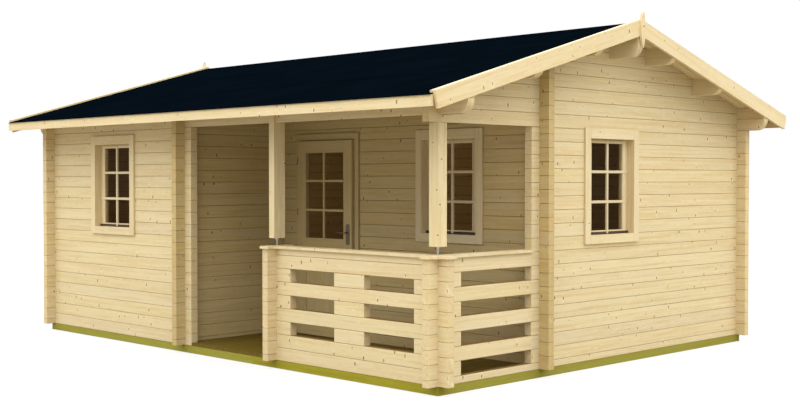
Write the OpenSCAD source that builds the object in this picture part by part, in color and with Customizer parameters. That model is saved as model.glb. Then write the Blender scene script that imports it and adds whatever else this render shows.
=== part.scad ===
// Log cabin with a corner terrace.
// X runs along the eaves, Y across the cabin from the terrace to the rear, Z up.
// The origin is on the ground, at the centre of the roof's outline.

/* [Walls] */
// Length between the outer faces of the two gable walls
cabin_l = 5790; // [5500:10:6200]
// Width between the outer faces of the front and the rear wall
cabin_w = 4440; // [4200:10:4800]
// Height of one course of logs
course = 114; // [108:1:120]
// Whole courses below the eave beams
courses = 18; // [17:1:20]
// Thickness of a log
log_t = 70; // [58:1:80]
// Length of a log end beyond the wall that it crosses
log_end = 100; // [80:1:120]
// Depth of the groove where two courses meet
groove = 4; // [2:1:8]

/* [Terrace] */
// Depth of the terrace, from the front face to its back wall
terrace_d = 1210; // [1150:10:1500]
// Length of the terrace, from the gable face to the room face of its side wall
terrace_l = 3356; // [3300:10:3500]
// Length of the front rail, from the gable face to the way in
rail_l = 1990; // [1900:10:2100]
// Whole courses in the terrace rails
rail_courses = 8; // [6:2:8]
// Length of the solid log block at the outer corner and at the way in
rail_block = 255; // [220:5:300]
// Length of the solid log block in the middle of the front rail
rail_middle = 357; // [200:1:450]
// Thickness of the rail's cap board
cap_t = 22; // [18:1:30]
// Overhang of the cap board over the logs
cap_over = 23; // [15:1:30]
// Radius of the hollow curves in the cap's outline
cap_sweep = 60; // [30:5:80]

/* [Posts] */
// Side of the square corner post
corner_post_w = 95; // [90:1:110]
// Thickness of each cheek of the entrance post beside the beam
post_cheek = 25; // [18:1:30]
// Height of the adjustable foot between cap board and post
foot_h = 66; // [40:1:90]
// Diameter of the threaded rod of a post foot
foot_rod_d = 12; // [10:1:20]
// Width across the flats of the nut on a post foot
foot_nut_w = 24; // [22:1:32]
// Height of that nut
foot_nut_h = 12; // [8:1:16]
// Side of the washer plate between nut and post
foot_plate = 40; // [34:1:60]
// Thickness of that washer plate
foot_plate_t = 3; // [2:1:5]

/* [Foundation and floors] */
// Height of the foundation beams
sill_h = 70; // [50:1:90]
// Width of the foundation beams
sill_w = 70; // [60:1:70]
// Distance from the terrace gable to the joint in the front and rear foundation beams
front_joint = 2257; // [1900:10:2600]
// Distance from the front face to the joint in the foundation beam under the terrace gable
gable_joint = 3193; // [2800:1:3600]
// Width of a floor joist
joist_w = 45; // [40:1:60]
// Distance aimed at between joists
joist_pitch = 560; // [400:10:700]
// Thickness of a terrace deck board
deck_t = 28; // [20:1:34]
// Width of a terrace deck board
deck_board_w = 95; // [80:1:140]
// Gap between two deck boards
deck_gap = 5; // [3:1:8]
// Thickness of the floor boards in the room
floor_t = 19; // [16:1:28]

/* [Roof] */
// Pitch of the roof in degrees
roof_pitch = 16; // [14:0.5:20]
// Overhang of the barge boards at the terrace gable
overhang_terrace = 310; // [250:5:350]
// Overhang of the barge boards at the room gable
overhang_room = 256; // [200:2:330]
// Overhang of the eaves, to the face of the fascia
overhang_eaves = 375; // [300:5:420]
// Thickness of the roof boards
board_t = 19; // [16:1:25]
// Thickness of the roof covering
cover_t = 5; // [3:1:10]
// Reach of the roof covering past the fascia
cover_drip = 12; // [5:1:20]
// Depth of the upper and lower purlins on their centre lines
purlin_d = 143; // [120:1:160]
// Depth of the ridge purlin on its centre line
ridge_d = 275; // [220:1:300]
// Distance of the upper purlins from the ridge
upper_purlin = 553; // [500:1:620]
// Distance of the lower purlins from the ridge
lower_purlin = 1355; // [1340:1:1420]
// Radius of the round under the ends of beams and purlins
end_round = 100; // [30:1:110]
// Distance of the beam ends behind the face of the barge boards
beam_back = 10; // [0:1:20]

/* [Roof trim] */
// Thickness of the barge boards
barge_t = 25; // [16:1:30]
// Reach of a barge board below the roof boards
barge_below = 95; // [80:1:130]
// Reach of a barge board above the underside of the roof boards
barge_above = 28; // [28:1:60]
// Distance from the face of the fascia to the upper corner of a barge board's end
barge_set = 17; // [0:1:25]
// Thickness of the cover strip that lies on the barge board
strip_t = 17; // [12:1:25]
// Width of the cover strip
strip_w = 55; // [40:1:80]
// How far the strips reach past the ends of the barge boards
strip_over = 3; // [0:1:30]
// Thickness of the fascia boards
fascia_t = 20; // [16:1:25]
// Depth of the fascia boards
fascia_d = 84; // [80:1:110]
// Width of a finial
finial_w = 64; // [50:1:90]
// Thickness of a finial
finial_t = 20; // [12:1:25]
// Height of a finial's tip above the ridge of the cover strips
finial_above = 61; // [40:1:90]
// Whole height of a finial
finial_h = 307; // [280:1:360]

/* [Windows] */
// Clear width inside a window's lining
win_w = 646; // [600:1:700]
// Clear height inside a window's lining
win_h = 837; // [760:1:900]
// Distance from the underside of the eave beams to the head of the windows
win_drop = 134; // [120:1:200]
// Distance from the gable face to the middle of the terrace window
terrace_win_x = 1009; // [950:1:1100]
// Thickness of the lining boards of windows
lining_t = 18; // [15:1:25]
// Width of the casing boards at a window's sides and bottom
casing_w = 76; // [60:1:90]
// Width of the casing board over a window
casing_head = 90; // [80:1:120]
// Thickness of the casing boards
casing_t = 20; // [16:1:25]
// Width of the casing boards inside the room
inner_casing_w = 60; // [40:1:80]
// Thickness of the casing boards inside the room
inner_casing_t = 16; // [12:1:22]
// Width of the fixed frame's uprights inside the lining
frame_side = 42; // [30:1:60]
// Height of the fixed frame's head and sill inside the lining
frame_end = 8; // [5:1:20]
// Set-back of the fixed frame from the wall's outer face
frame_back = 58; // [45:1:70]
// Reach of the frames past the wall's inner face
frame_out = 30; // [20:1:40]
// Set-back of the sash from the wall's outer face
sash_back = 46; // [35:1:55]
// Thickness of the sash
sash_t = 38; // [34:1:45]
// Width of the sash's stiles
sash_w = 48; // [40:1:60]
// Height of the sash's rails
sash_rail = 28; // [25:1:60]
// Width of the glazing bars
bar_w = 24; // [18:1:30]
// Reach of the glazing bars in front of the sash
bar_out = 8; // [4:1:12]
// Distance of the glass behind the front of the sash or the door leaf
bar_d = 10; // [6:1:20]
// Depth of the rebate that holds the glass
rebate = 8; // [6:1:12]
// Thickness of the glass
glass_t = 4; // [3:1:6]

/* [Door] */
// Clear width between the door jambs
door_w = 755; // [700:1:800]
// Lap of the leaf over the jambs and the head of the frame
door_lap = 15; // [10:1:20]
// Distance from the underside of the eave beams to the head of the doorway
door_drop = 127; // [120:1:150]
// Distance from the gable face to the middle of the door
door_x = 2619; // [2600:1:2680]
// Thickness of the door jambs
jamb_t = 38; // [30:1:40]
// Running gap round the door leaf
door_gap = 5; // [5:0.5:8]
// Wider gap at the leaf's latch side, for its corner to swing past
latch_gap = 8; // [8:0.5:10]
// Thickness of the door leaf
leaf_t = 45; // [38:1:46]
// Reach of the leaf in front of the casing
leaf_out = 30; // [24:1:36]
// Width of the casing beside the leaf
door_casing_w = 54; // [45:1:80]
// Height of the casing over the leaf
door_casing_head = 66; // [50:1:90]
// Width of the leaf's stiles and top rail
stile_w = 117; // [95:1:125]
// Height of the leaf's lock rail
lock_rail_h = 110; // [90:1:140]
// Height of the leaf's bottom rail
bottom_rail_h = 150; // [110:1:200]
// Height of the underside of the door's glass above the deck
glass_up = 963; // [900:1:1000]
// Width of a board in the door's panel
panel_board_w = 86; // [60:1:120]
// Depth of the panel behind the leaf's faces
panel_back = 8; // [5:1:12]
// Width of the door's glazing bars
door_bar_w = 22; // [18:1:32]
// Lap of the door's glazing bars over the stiles and rails
bar_lap = 14; // [8:1:20]
// Height of the threshold above the foundation
threshold_h = 45; // [35:1:50]
// Angle to which the door opens
door_open = 100; // [80:1:100]

/* [Door furniture] */
// Height of the lever's axis above the deck
lever_up = 1028; // [950:1:1080]
// Distance from the leaf's edge to the lever's axis
backset = 50; // [45:1:60]
// Width of a handle plate
plate_w = 48; // [36:1:50]
// Height of a handle plate
plate_h = 203; // [180:1:240]
// Height of a plate's top above the lever's axis
plate_rise = 84; // [60:1:120]
// Thickness of a handle plate
plate_t = 6; // [4:1:10]
// Radius of the lever's neck
neck_r = 9; // [8:0.5:11]
// Half the thickness of the lever's arm
lever_r = 7; // [6:0.5:9]
// Radius of the lever's elbow, on the bar's centre line
elbow_r = 16; // [12:1:20]
// Reach of the collar beyond the handle plate
collar_out = 4; // [2:0.5:8]
// Reach of the lever's arm
lever_l = 110; // [90:1:130]
// Distance of the lever's arm from the plate
lever_out = 42; // [35:1:55]
// Diameter of a hinge's barrel
barrel_d = 14; // [12:1:18]
// Length of a hinge's barrel
barrel_l = 66; // [50:2:90]
// Diameter of the studs that hold a hinge in the frame and in the leaf
stud_d = 9; // [7:1:12]
// Distance of the outer hinges' middles from the leaf's ends
hinge_end = 193; // [150:1:300]
// Distance from the top hinge to the middle one
hinge_mid = 503; // [400:1:800]

/* [Hidden] */

$fn = 48;

// Overshoot of a cutting tool past the face that it cuts
cut = 1;
// Room left between a shaft and its hole
running = 0.3;
// Room round the lever's neck inside the leaf
neck_room = 2;
// Gap at the mitre of two boards, hidden by the finial
mitre = 0.5;
// Gap left where one layer of the roof lies on another
seat = 0.3;
// Room between a hinge's barrel and the leaf
barrel_gap = 1;
// Courses that the eave beams add to the walls
beam_courses = 2;

// Faces of the walls in plan
x_right = cabin_l / 2 - (overhang_terrace - overhang_room) / 2;
x_left = x_right - cabin_l;
y_front = -cabin_w / 2;
y_rear = cabin_w / 2;
x_side = x_right - terrace_l;
y_back = y_front + terrace_d;
x_entry = x_right - rail_l;

// Levels
function z_course(k) = sill_h + k * course;
z_beam = z_course(courses);
z_tie = z_course(courses - 0.5);
z_split = z_course(courses - 1);
z_deck = sill_h + deck_t;
z_rail = z_course(rail_courses + 0.5);
z_post = z_rail + cap_t + foot_h;

// Roof: the underside of its boards
slope = tan(roof_pitch);
z_ridge = z_course(courses + beam_courses) + (cabin_w / 2 - log_t) * slope;
function z_roof(y) = z_ridge - abs(y) * slope;
board_v = board_t / cos(roof_pitch);
cover_v = cover_t / cos(roof_pitch);
cover_low = seat + board_v + seat;
x_verge_r = x_right + overhang_terrace - barge_t;
x_verge_l = x_left - overhang_room + barge_t;
x_beam_r = x_verge_r + barge_t - beam_back;
x_beam_l = x_verge_l - barge_t + beam_back;
y_eave = y_rear + overhang_eaves;
strip_low = barge_above + seat;
strip_high = strip_low + strip_t / cos(roof_pitch);

// Openings
z_win = z_beam - win_drop - win_h;
z_door = z_beam - door_drop;
x_front_win = (x_left + x_side + log_t) / 2;
x_terrace_win = x_right - terrace_win_x;
x_door = x_right - door_x;
door_hole_l = x_door - door_w / 2 - jamb_t;
door_hole_r = x_door + door_w / 2 + jamb_t;

// Door leaf: its outer face, its corners and its hinges
y_leaf = y_back - casing_t - leaf_out;
leaf_l = x_door - door_w / 2 - door_lap;
leaf_r = x_door + door_w / 2 + door_lap;
leaf_w = leaf_r - leaf_l;
z_leaf = z_deck + door_gap;
leaf_h = z_door + door_lap - z_leaf;
pin_x = leaf_l - barrel_d / 2 - barrel_gap;
pin_y = y_leaf + barrel_d / 2 + barrel_gap;
hinge_levels = [z_leaf + hinge_end, z_leaf + leaf_h - hinge_end - hinge_mid,
                z_leaf + leaf_h - hinge_end];
x_lever = leaf_r - backset;
z_lever = z_deck + lever_up;

wood = "#e3cf9b";
wood_shade = "#d3bd86";
treated = "#8f8a3a";
steel = "#a9adb0";
dark = "#141a22";

// ---------------------------------------------------------------- log work

// Cross-section of stacked logs from z0 to z1, with a groove at each joint and half a
// groove at top and bottom. shift is 0 for logs along X and 0.5 for logs along Y.
module log_section(z0, z1, shift) {
    joints = [for (k = [0:courses + 12]) let (z = z_course(k + shift))
              if (z > z0 + 2 * groove && z < z1 - 2 * groove) z];
    last = len(joints) - 1;
    polygon(concat(
        [[groove, z0], [0, z0 + groove]],
        [for (z = joints) each [[0, z - groove], [groove, z], [0, z + groove]]],
        [[0, z1 - groove], [groove, z1], [log_t - groove, z1], [log_t, z1 - groove]],
        [for (i = [last:-1:0]) each [[log_t, joints[i] + groove], [log_t - groove, joints[i]],
                                     [log_t, joints[i] - groove]]],
        [[log_t, z0 + groove], [log_t - groove, z0]]));
}

// Logs along X between x0 and x1, with their front face at y0
module logs_x(x0, x1, y0, z0, z1)
    translate([x0, y0, 0]) rotate([90, 0, 90]) linear_extrude(x1 - x0) log_section(z0, z1, 0);

// Logs along Y between y0 and y1, with their left face at x0
module logs_y(y0, y1, x0, z0, z1)
    translate([x0, y1, 0]) rotate([90, 0, 0]) linear_extrude(y1 - y0) log_section(z0, z1, 0.5);

// Quarter-height notches above and below the joints of X logs, where a Y wall crosses at x0
module notches_x(x0, y0, k0, k1)
    for (k = [k0:k1])
        translate([x0, y0 - cut, z_course(k) - course / 4]) cube([log_t, log_t + 2 * cut, course / 2]);

// The same in Y logs, where an X wall crosses at y0
module notches_y(x0, y0, k0, k1)
    for (k = [k0:k1])
        translate([x0 - cut, y0, z_course(k + 0.5) - course / 4])
            cube([log_t + 2 * cut, log_t, course / 2]);

// Everything below the underside of the roof boards
module under_roof()
    translate([x_left - cabin_l, 0, 0]) rotate([90, 0, 90]) linear_extrude(3 * cabin_l)
        polygon([[-cabin_w, 0], [cabin_w, 0], [cabin_w, z_roof(cabin_w)], [0, z_ridge],
                 [-cabin_w, z_roof(cabin_w)]]);

// Outline of a beam in side view: flat underside, rounded under both ends
module beam_side(x0, x1, z0, z1) {
    steps = 8;
    r = end_round;
    polygon(concat(
        [[x0, z1]],
        [for (i = [0:steps]) let (a = 180 + 90 * i / steps) [x0 + r + r * cos(a), z0 + r + r * sin(a)]],
        [for (i = [0:steps]) let (a = 270 + 90 * i / steps) [x1 - r + r * cos(a), z0 + r + r * sin(a)]],
        [[x1, z1]]));
}

// Notches in the ends of beams and purlins, in which the barge boards lie
module barge_notches() for (x = [x_verge_l - barge_t, x_verge_r], s = [0, 1])
    mirror([0, s, 0]) slope_layer(x, x + barge_t, 0, y_eave, -barge_below - seat, cut);

// ---------------------------------------------------------------- foundation and floors

module beam_x(x0, x1, y0) translate([x0, y0, 0]) cube([x1 - x0, sill_w, sill_h]);

module beam_y(y0, y1, x0) translate([x0, y0, 0]) cube([sill_w, y1 - y0, sill_h]);

// Two lengths of beam that meet end to end
butt_gap = 1;
x_butt = x_right - front_joint;
y_butt = y_front + gable_joint;

module foundation_long_beams() color(treated) for (y = [y_front, y_rear - sill_w]) {
    beam_x(x_left, x_butt, y);
    beam_x(x_butt + butt_gap, x_right, y);
}

module foundation_cross_beams() color(treated) {
    beam_y(y_front + sill_w, y_rear - sill_w, x_left);
    beam_y(y_front + sill_w, y_butt, x_right - sill_w);
    beam_y(y_butt + butt_gap, y_rear - sill_w, x_right - sill_w);
}

// Beams under the back wall and the side wall of the terrace
module foundation_terrace() color(treated) {
    beam_x(x_side, x_right - sill_w, y_back);
    beam_y(y_front + sill_w, y_back, x_side);
}

// Joists along X, spread evenly between the beams
module joist_row(x0, x1, y0, y1) {
    n = ceil((y1 - y0) / joist_pitch);
    for (i = [1:n - 1])
        translate([x0, y0 + (y1 - y0) * i / n - joist_w / 2, 0]) cube([x1 - x0, joist_w, sill_h]);
}

module floor_joists() color(treated) {
    joist_row(x_left + sill_w, x_side, y_front + sill_w, y_back);
    joist_row(x_side + sill_w, x_right - sill_w, y_front + sill_w, y_back);
    joist_row(x_left + sill_w, x_right - sill_w, y_back + sill_w, y_rear - sill_w);
}

// Boards along Y, cut round the rail and the log ends
module terrace_deck() color(treated) difference() {
    x0 = x_side + log_t;
    x1 = x_right - log_t;
    n = floor((x1 - x0 + deck_gap) / (deck_board_w + deck_gap));
    for (i = [0:n]) {
        xb = x0 + i * (deck_board_w + deck_gap);
        w = min(deck_board_w, x1 - xb);
        if (w > deck_gap) translate([xb, y_front, sill_h]) cube([w, terrace_d, deck_t]);
    }
    translate([x0 - cut, y_front - cut, sill_h - cut]) cube([log_end + cut, log_t + cut, deck_t + 2 * cut]);
    translate([x_entry, y_front - cut, sill_h - cut]) cube([rail_l, log_t + cut, deck_t + 2 * cut]);
    translate([x_entry, y_front, sill_h - cut]) cube([log_t, log_t + log_end, deck_t + 2 * cut]);
}

module cabin_floor() color(wood_shade) difference() {
    union() {
        translate([x_left + log_t, y_back + log_t, sill_h])
            cube([cabin_l - 2 * log_t, cabin_w - terrace_d - 2 * log_t, floor_t]);
        translate([x_left + log_t, y_front + log_t, sill_h])
            cube([x_side - x_left - log_t, terrace_d, floor_t]);
    }
    translate([x_side - log_end, y_back, sill_h - cut]) cube([log_end + cut, log_t, floor_t + 2 * cut]);
    translate([x_side, y_back + log_t - cut, sill_h - cut])
        cube([log_t, log_end + cut, floor_t + 2 * cut]);
    translate([door_hole_l, y_back + log_t - cut, sill_h - cut])
        cube([door_hole_r - door_hole_l, frame_out + cut, floor_t + 2 * cut]);
}

// ---------------------------------------------------------------- walls

// Hole through a wall for a window's lining, in the window's own frame
module window_hole()
    translate([-win_w / 2 - lining_t, -cut, z_win - lining_t])
        cube([win_w + 2 * lining_t, log_t + 2 * cut, win_h + 2 * lining_t]);

module at_front_window() translate([x_front_win, y_front, 0]) children();
module at_terrace_window() translate([x_terrace_win, y_back, 0]) children();
module at_gable_window() translate([x_right, 0, 0]) rotate([0, 0, 90]) children();

module front_wall() color(wood) difference() {
    logs_x(x_left - log_end, x_side + log_t + log_end, y_front, sill_h, z_beam);
    notches_x(x_left, y_front, 0, courses);
    notches_x(x_side, y_front, 0, courses);
    at_front_window() window_hole();
}

module rear_wall() color(wood) difference() {
    logs_x(x_left - log_end, x_right + log_end, y_rear - log_t, sill_h, z_beam);
    notches_x(x_left, y_rear - log_t, 0, courses);
    notches_x(x_right - log_t, y_rear - log_t, 0, courses);
}

// Holes in a gable for the three rows of purlins
module purlin_holes(x0) {
    for (side = [-1, 1]) {
        translate([x0 - cut, side * upper_purlin - log_t / 2, z_roof(upper_purlin) - purlin_d])
            cube([log_t + 2 * cut, log_t, ridge_d]);
        translate([x0 - cut, side * lower_purlin - log_t / 2, z_roof(lower_purlin) - purlin_d])
            cube([log_t + 2 * cut, log_t, ridge_d]);
    }
    translate([x0 - cut, -log_t / 2, z_ridge - ridge_d]) cube([log_t + 2 * cut, log_t, 2 * ridge_d]);
}

top_course = courses + 9;

module left_gable_wall() color(wood) difference() {
    intersection() {
        logs_y(y_front - log_end, y_rear + log_end, x_left, sill_h, z_ridge);
        under_roof();
    }
    notches_y(x_left, y_front, 0, courses + 1);
    notches_y(x_left, y_rear - log_t, 0, courses + 1);
    purlin_holes(x_left);
}

// The gable beside the terrace stops short of the front, up to the tie log
module right_gable_wall() color(wood) difference() {
    logs_y(y_back - log_end, y_rear + log_end, x_right - log_t, sill_h, z_tie);
    notches_y(x_right - log_t, y_back, 0, courses - 1);
    notches_y(x_right - log_t, y_rear - log_t, 0, courses - 1);
    at_gable_window() window_hole();
}

// From the tie log up the gable spans the whole width, over the terrace too
module right_gable_top() color(wood) difference() {
    intersection() {
        logs_y(y_front - log_end, y_rear + log_end, x_right - log_t, z_tie, z_ridge);
        under_roof();
    }
    notches_y(x_right - log_t, y_front, courses, courses + 1);
    notches_y(x_right - log_t, y_back, courses - 1, top_course);
    notches_y(x_right - log_t, y_rear - log_t, courses - 1, courses + 1);
    purlin_holes(x_right - log_t);
}

module terrace_side_wall() color(wood_shade) difference() {
    intersection() {
        logs_y(y_front - log_end, y_back + log_t + log_end, x_side, sill_h, z_ridge);
        under_roof();
    }
    notches_y(x_side, y_front, 0, courses + 1);
    notches_y(x_side, y_back, 0, top_course);
    purlin_holes(x_side);
}

module terrace_back_wall_left() color(wood_shade) difference() {
    logs_x(x_side - log_end, door_hole_l, y_back, sill_h, z_split);
    notches_x(x_side, y_back, 0, courses - 1);
}

module terrace_back_wall_right() color(wood_shade) difference() {
    logs_x(door_hole_r, x_right + log_end, y_back, sill_h, z_split);
    notches_x(x_right - log_t, y_back, 0, courses - 1);
    at_terrace_window() window_hole();
}

// Over the door the back wall runs through, up to the roof boards
module terrace_back_wall_top() color(wood_shade) difference() {
    intersection() {
        logs_x(x_side - log_end, x_right + log_end, y_back, z_split, z_ridge);
        under_roof();
    }
    notches_x(x_side, y_back, courses - 1, top_course);
    notches_x(x_right - log_t, y_back, courses - 1, top_course);
    translate([door_hole_l, y_back - cut, z_split - cut])
        cube([door_hole_r - door_hole_l, log_t + 2 * cut, z_door + jamb_t - z_split + cut]);
}

// ---------------------------------------------------------------- beams and purlins

// Two courses of logs that run the whole length and carry the eaves
module eave_beam(y0) difference() {
    intersection() {
        logs_x(x_beam_l, x_beam_r, y0, z_beam, z_ridge);
        under_roof();
        translate([0, y0 + log_t + cut, 0]) rotate([90, 0, 0]) linear_extrude(log_t + 2 * cut)
            beam_side(x_beam_l, x_beam_r, z_beam, z_ridge);
    }
    barge_notches();
    notches_x(x_left, y0, courses, courses + 2);
    notches_x(x_right - log_t, y0, courses, courses + 2);
}

module front_eave_beam() color(wood) difference() {
    eave_beam(y_front);
    notches_x(x_side, y_front, courses, courses + 2);
}

module rear_eave_beam() color(wood) eave_beam(y_rear - log_t);

// One purlin of depth d centred at y, rounded under its ends
module purlin(y, d) difference() {
    intersection() {
        translate([0, y + log_t / 2, 0]) rotate([90, 0, 0]) linear_extrude(log_t)
            beam_side(x_beam_l, x_beam_r, z_roof(y) - d, z_ridge);
        under_roof();
    }
    barge_notches();
}

module ridge_purlin() color(wood) purlin(0, ridge_d);

module purlins() color(wood)
    for (y = [-lower_purlin, -upper_purlin, upper_purlin, lower_purlin]) purlin(y, purlin_d);

// ---------------------------------------------------------------- terrace rail and posts

gap_courses = [for (k = [2:2:rail_courses - 2]) k];
front_gap = (rail_l - 2 * rail_block - rail_middle) / 2;

module front_rail() color(wood) difference() {
    logs_x(x_entry, x_right + log_end, y_front, sill_h, z_rail);
    notches_x(x_entry, y_front, 0, rail_courses);
    notches_x(x_right - log_t, y_front, 0, rail_courses);
    for (k = gap_courses, x = [x_entry + rail_block, x_right - rail_block - front_gap])
        translate([x, y_front - cut, z_course(k)]) cube([front_gap, log_t + 2 * cut, course]);
}

// Short logs that close the end of the front rail
module rail_stub() color(wood) difference() {
    logs_y(y_front - log_end, y_front + log_t + log_end, x_entry, sill_h, z_rail);
    notches_y(x_entry, y_front, 0, rail_courses);
}

module side_rail() color(wood) difference() {
    logs_y(y_front - log_end, y_back - log_end, x_right - log_t, sill_h, z_rail);
    notches_y(x_right - log_t, y_front, 0, rail_courses);
    for (k = [0:2:rail_courses - 2])
        translate([x_right - log_t - cut, y_front + rail_block, z_course(k + 0.5)])
            cube([log_t + 2 * cut, terrace_d, course]);
}

// The cap follows the rail and flares round the log ends with hollow curves
module rail_cap() color(wood) translate([0, 0, z_rail]) linear_extrude(cap_t) difference() {
    offset(r = -cap_sweep, $fn = 48) offset(r = cap_sweep + cap_over, $fn = 48) {
        translate([x_entry, y_front]) square([rail_l + log_end, log_t]);
        translate([x_right - log_t, y_front - log_end]) square([log_t, terrace_d]);
        translate([x_entry, y_front - log_end]) square([log_t, log_t + 2 * log_end]);
    }
    translate([x_right - cabin_l, y_back - log_end]) square([2 * cabin_l, cabin_w]);
}

// Forked over the eave beam, with a cheek on either side of it
module entrance_post() color(wood) difference() {
    intersection() {
        translate([x_entry, y_front - post_cheek, z_post])
            cube([log_t, log_t + 2 * post_cheek, z_ridge - z_post]);
        under_roof();
    }
    translate([x_entry - cut, y_front, z_beam]) cube([log_t + 2 * cut, log_t, z_ridge]);
}

module corner_post() color(wood)
    translate([x_right - corner_post_w, y_front, z_post])
        cube([corner_post_w, corner_post_w, z_tie - z_post]);

// Threaded rod with a nut and a washer plate, on which the post is set to its height
module post_foot(x, y) translate([x, y, z_rail + cap_t]) {
    cylinder(d = foot_rod_d, h = foot_h);
    translate([0, 0, foot_h - foot_plate_t - foot_nut_h])
        cylinder(d = foot_nut_w / cos(30), h = foot_nut_h + foot_plate_t / 2, $fn = 6);
    translate([-foot_plate / 2, -foot_plate / 2, foot_h - foot_plate_t])
        cube([foot_plate, foot_plate, foot_plate_t]);
}

module post_feet() color(steel) {
    post_foot(x_entry + log_t / 2, y_front + log_t / 2);
    post_foot(x_right - corner_post_w / 2, y_front + corner_post_w / 2);
}

// ---------------------------------------------------------------- roof

// A layer on the rear slope, from y0 to y1, between heights b and t over the board's underside
module slope_layer(x0, x1, y0, y1, b, t)
    translate([x0, 0, 0]) rotate([90, 0, 90]) linear_extrude(x1 - x0)
        polygon([[y0, z_roof(y0) + b], [y1, z_roof(y1) + b], [y1, z_roof(y1) + t],
                 [y0, z_roof(y0) + t]]);

module front_side() mirror([0, 1, 0]) children();

module roof_boards()
    slope_layer(x_verge_l, x_verge_r, 0, y_eave - fascia_t, seat, seat + board_v);

module roof_covering()
    slope_layer(x_verge_l, x_verge_r, 0, y_eave + cover_drip, cover_low, cover_low + cover_v);

module roof_boards_front() color(wood) front_side() roof_boards();
module roof_boards_rear() color(wood) roof_boards();
module roof_covering_front() color(dark) front_side() roof_covering();
module roof_covering_rear() color(dark) roof_covering();

// A board on both slopes, with its lower end cut square to the slope. y1 is its upper corner.
module slope_boards(x0, x1, y1, b, t) {
    y2 = y1 - (t - b) * sin(roof_pitch) * cos(roof_pitch);
    for (s = [0, 1]) mirror([0, s, 0]) translate([x0, 0, 0]) rotate([90, 0, 90])
        linear_extrude(x1 - x0)
            polygon([[mitre, z_roof(mitre) + b], [y2, z_roof(y2) + b], [y1, z_roof(y1) + t],
                     [mitre, z_roof(mitre) + t]]);
}

module barge_boards() color(wood) for (x = [x_verge_l - barge_t, x_verge_r])
    slope_boards(x, x + barge_t, y_eave - barge_set, -barge_below, barge_above);

// Flat strips on the upper edges of the barge boards, over the edge of the roof covering
module barge_strips() color(wood)
    for (x = [x_verge_l - barge_t, x_verge_r + barge_t - strip_w])
        slope_boards(x, x + strip_w, y_eave - barge_set + strip_over, strip_low, strip_high);

module fascia_board()
    translate([x_verge_l, y_eave - fascia_t, z_roof(y_eave) + board_v - fascia_d])
        cube([x_verge_r - x_verge_l, fascia_t, fascia_d]);

module fascia_boards() color(wood) {
    fascia_board();
    front_side() fascia_board();
}

// Half the outline of a finial from its tip down, in shares of half the width and of the height
spear = [[0.12, 0], [0.4, 0.04], [0.62, 0.13], [0.8, 0.27], [0.95, 0.42], [1, 0.52],
         [0.97, 0.63], [0.78, 0.74], [0.48, 0.86], [0.08, 1]];

// Spear-shaped board in front of the ridge
module finial(x0) {
    outline = [for (p = spear) [p[0] * finial_w / 2, -p[1] * finial_h]];
    translate([x0, 0, z_ridge + strip_high + finial_above]) rotate([90, 0, 90])
        linear_extrude(finial_t)
            polygon(concat(outline,
                           [for (i = [len(outline) - 1:-1:0]) [-outline[i][0], outline[i][1]]]));
}

module finials() color(wood) {
    finial(x_verge_r + barge_t);
    finial(x_verge_l - barge_t - finial_t);
}

// ---------------------------------------------------------------- windows
// In a window's own frame X runs along the wall, Y inwards from its outer face.

// Outer corner of the sash, and the lower corner of its glass
sash_x = win_w / 2 - frame_side;
sash_z = z_win + frame_end;
sash_h = win_h - 2 * frame_end;
pane_x = sash_x - sash_w;
pane_z = sash_z + sash_rail;
pane_h = sash_h - 2 * sash_rail;

// A board-like block of width w centred on the window
module win_block(w, y0, y1, z, h) translate([-w / 2, y0, z]) cube([w, y1 - y0, h]);

module window_frame() difference() {
    union() {
        win_block(win_w + 2 * lining_t, -casing_t, log_t + frame_out, z_win - lining_t,
                  win_h + 2 * lining_t);
        win_block(win_w + 2 * casing_w, -casing_t, 0, z_win - casing_w,
                  win_h + casing_w + casing_head);
        win_block(win_w + 2 * inner_casing_w, log_t, log_t + inner_casing_t,
                  z_win - inner_casing_w, win_h + 2 * inner_casing_w);
    }
    win_block(win_w, -casing_t - cut, frame_back, z_win, win_h);
    win_block(2 * sash_x, frame_back - cut, log_t + frame_out + cut, sash_z, sash_h);
}

// Sash with three rows of two panes; the bars are planted on its face, before the glass
pane_rows = 3;
pane_cols = 2;

module grid_holes(w, h, cols, rows, bar, depth) {
    pw = (w - (cols - 1) * bar) / cols;
    ph = (h - (rows - 1) * bar) / rows;
    for (c = [0:cols - 1], r = [0:rows - 1])
        translate([c * (pw + bar), 0, r * (ph + bar)]) cube([pw, depth, ph]);
}

// The bars of a grid w wide and h high, lapping over its frame by lx and lz
module grid_bars(w, h, cols, rows, bar, lx, lz, depth) {
    pw = (w - (cols - 1) * bar) / cols;
    ph = (h - (rows - 1) * bar) / rows;
    for (c = [1:cols - 1])
        translate([c * (pw + bar) - bar, 0, -lz]) cube([bar, depth, h + 2 * lz]);
    for (r = [1:rows - 1])
        translate([-lx, 0, r * (ph + bar) - bar]) cube([w + 2 * lx, depth, bar]);
}

module window_sash() difference() {
    union() {
        win_block(2 * sash_x, sash_back, sash_back + sash_t, sash_z, sash_h);
        translate([-pane_x, sash_back - bar_out, pane_z])
            grid_bars(2 * pane_x, pane_h, pane_cols, pane_rows, bar_w, sash_w, sash_rail,
                      bar_out + cut);
    }
    translate([-pane_x, sash_back - bar_out - cut, pane_z])
        grid_holes(2 * pane_x, pane_h, pane_cols, pane_rows, bar_w, bar_out + bar_d + 2 * cut);
    win_block(2 * (pane_x + rebate), sash_back + bar_d, sash_back + sash_t + cut,
              pane_z - rebate, pane_h + 2 * rebate);
}

module window_pane()
    win_block(2 * (pane_x + rebate), sash_back + bar_d, sash_back + bar_d + glass_t,
              pane_z - rebate, pane_h + 2 * rebate);

module at_windows() {
    at_front_window() children();
    at_gable_window() children();
    at_terrace_window() children();
}

module window_frames() color(wood) at_windows() window_frame();
module window_sashes() color(wood) at_windows() window_sash();
module window_glass() color("#3a2c1c") at_windows() window_pane();

// ---------------------------------------------------------------- door

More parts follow.
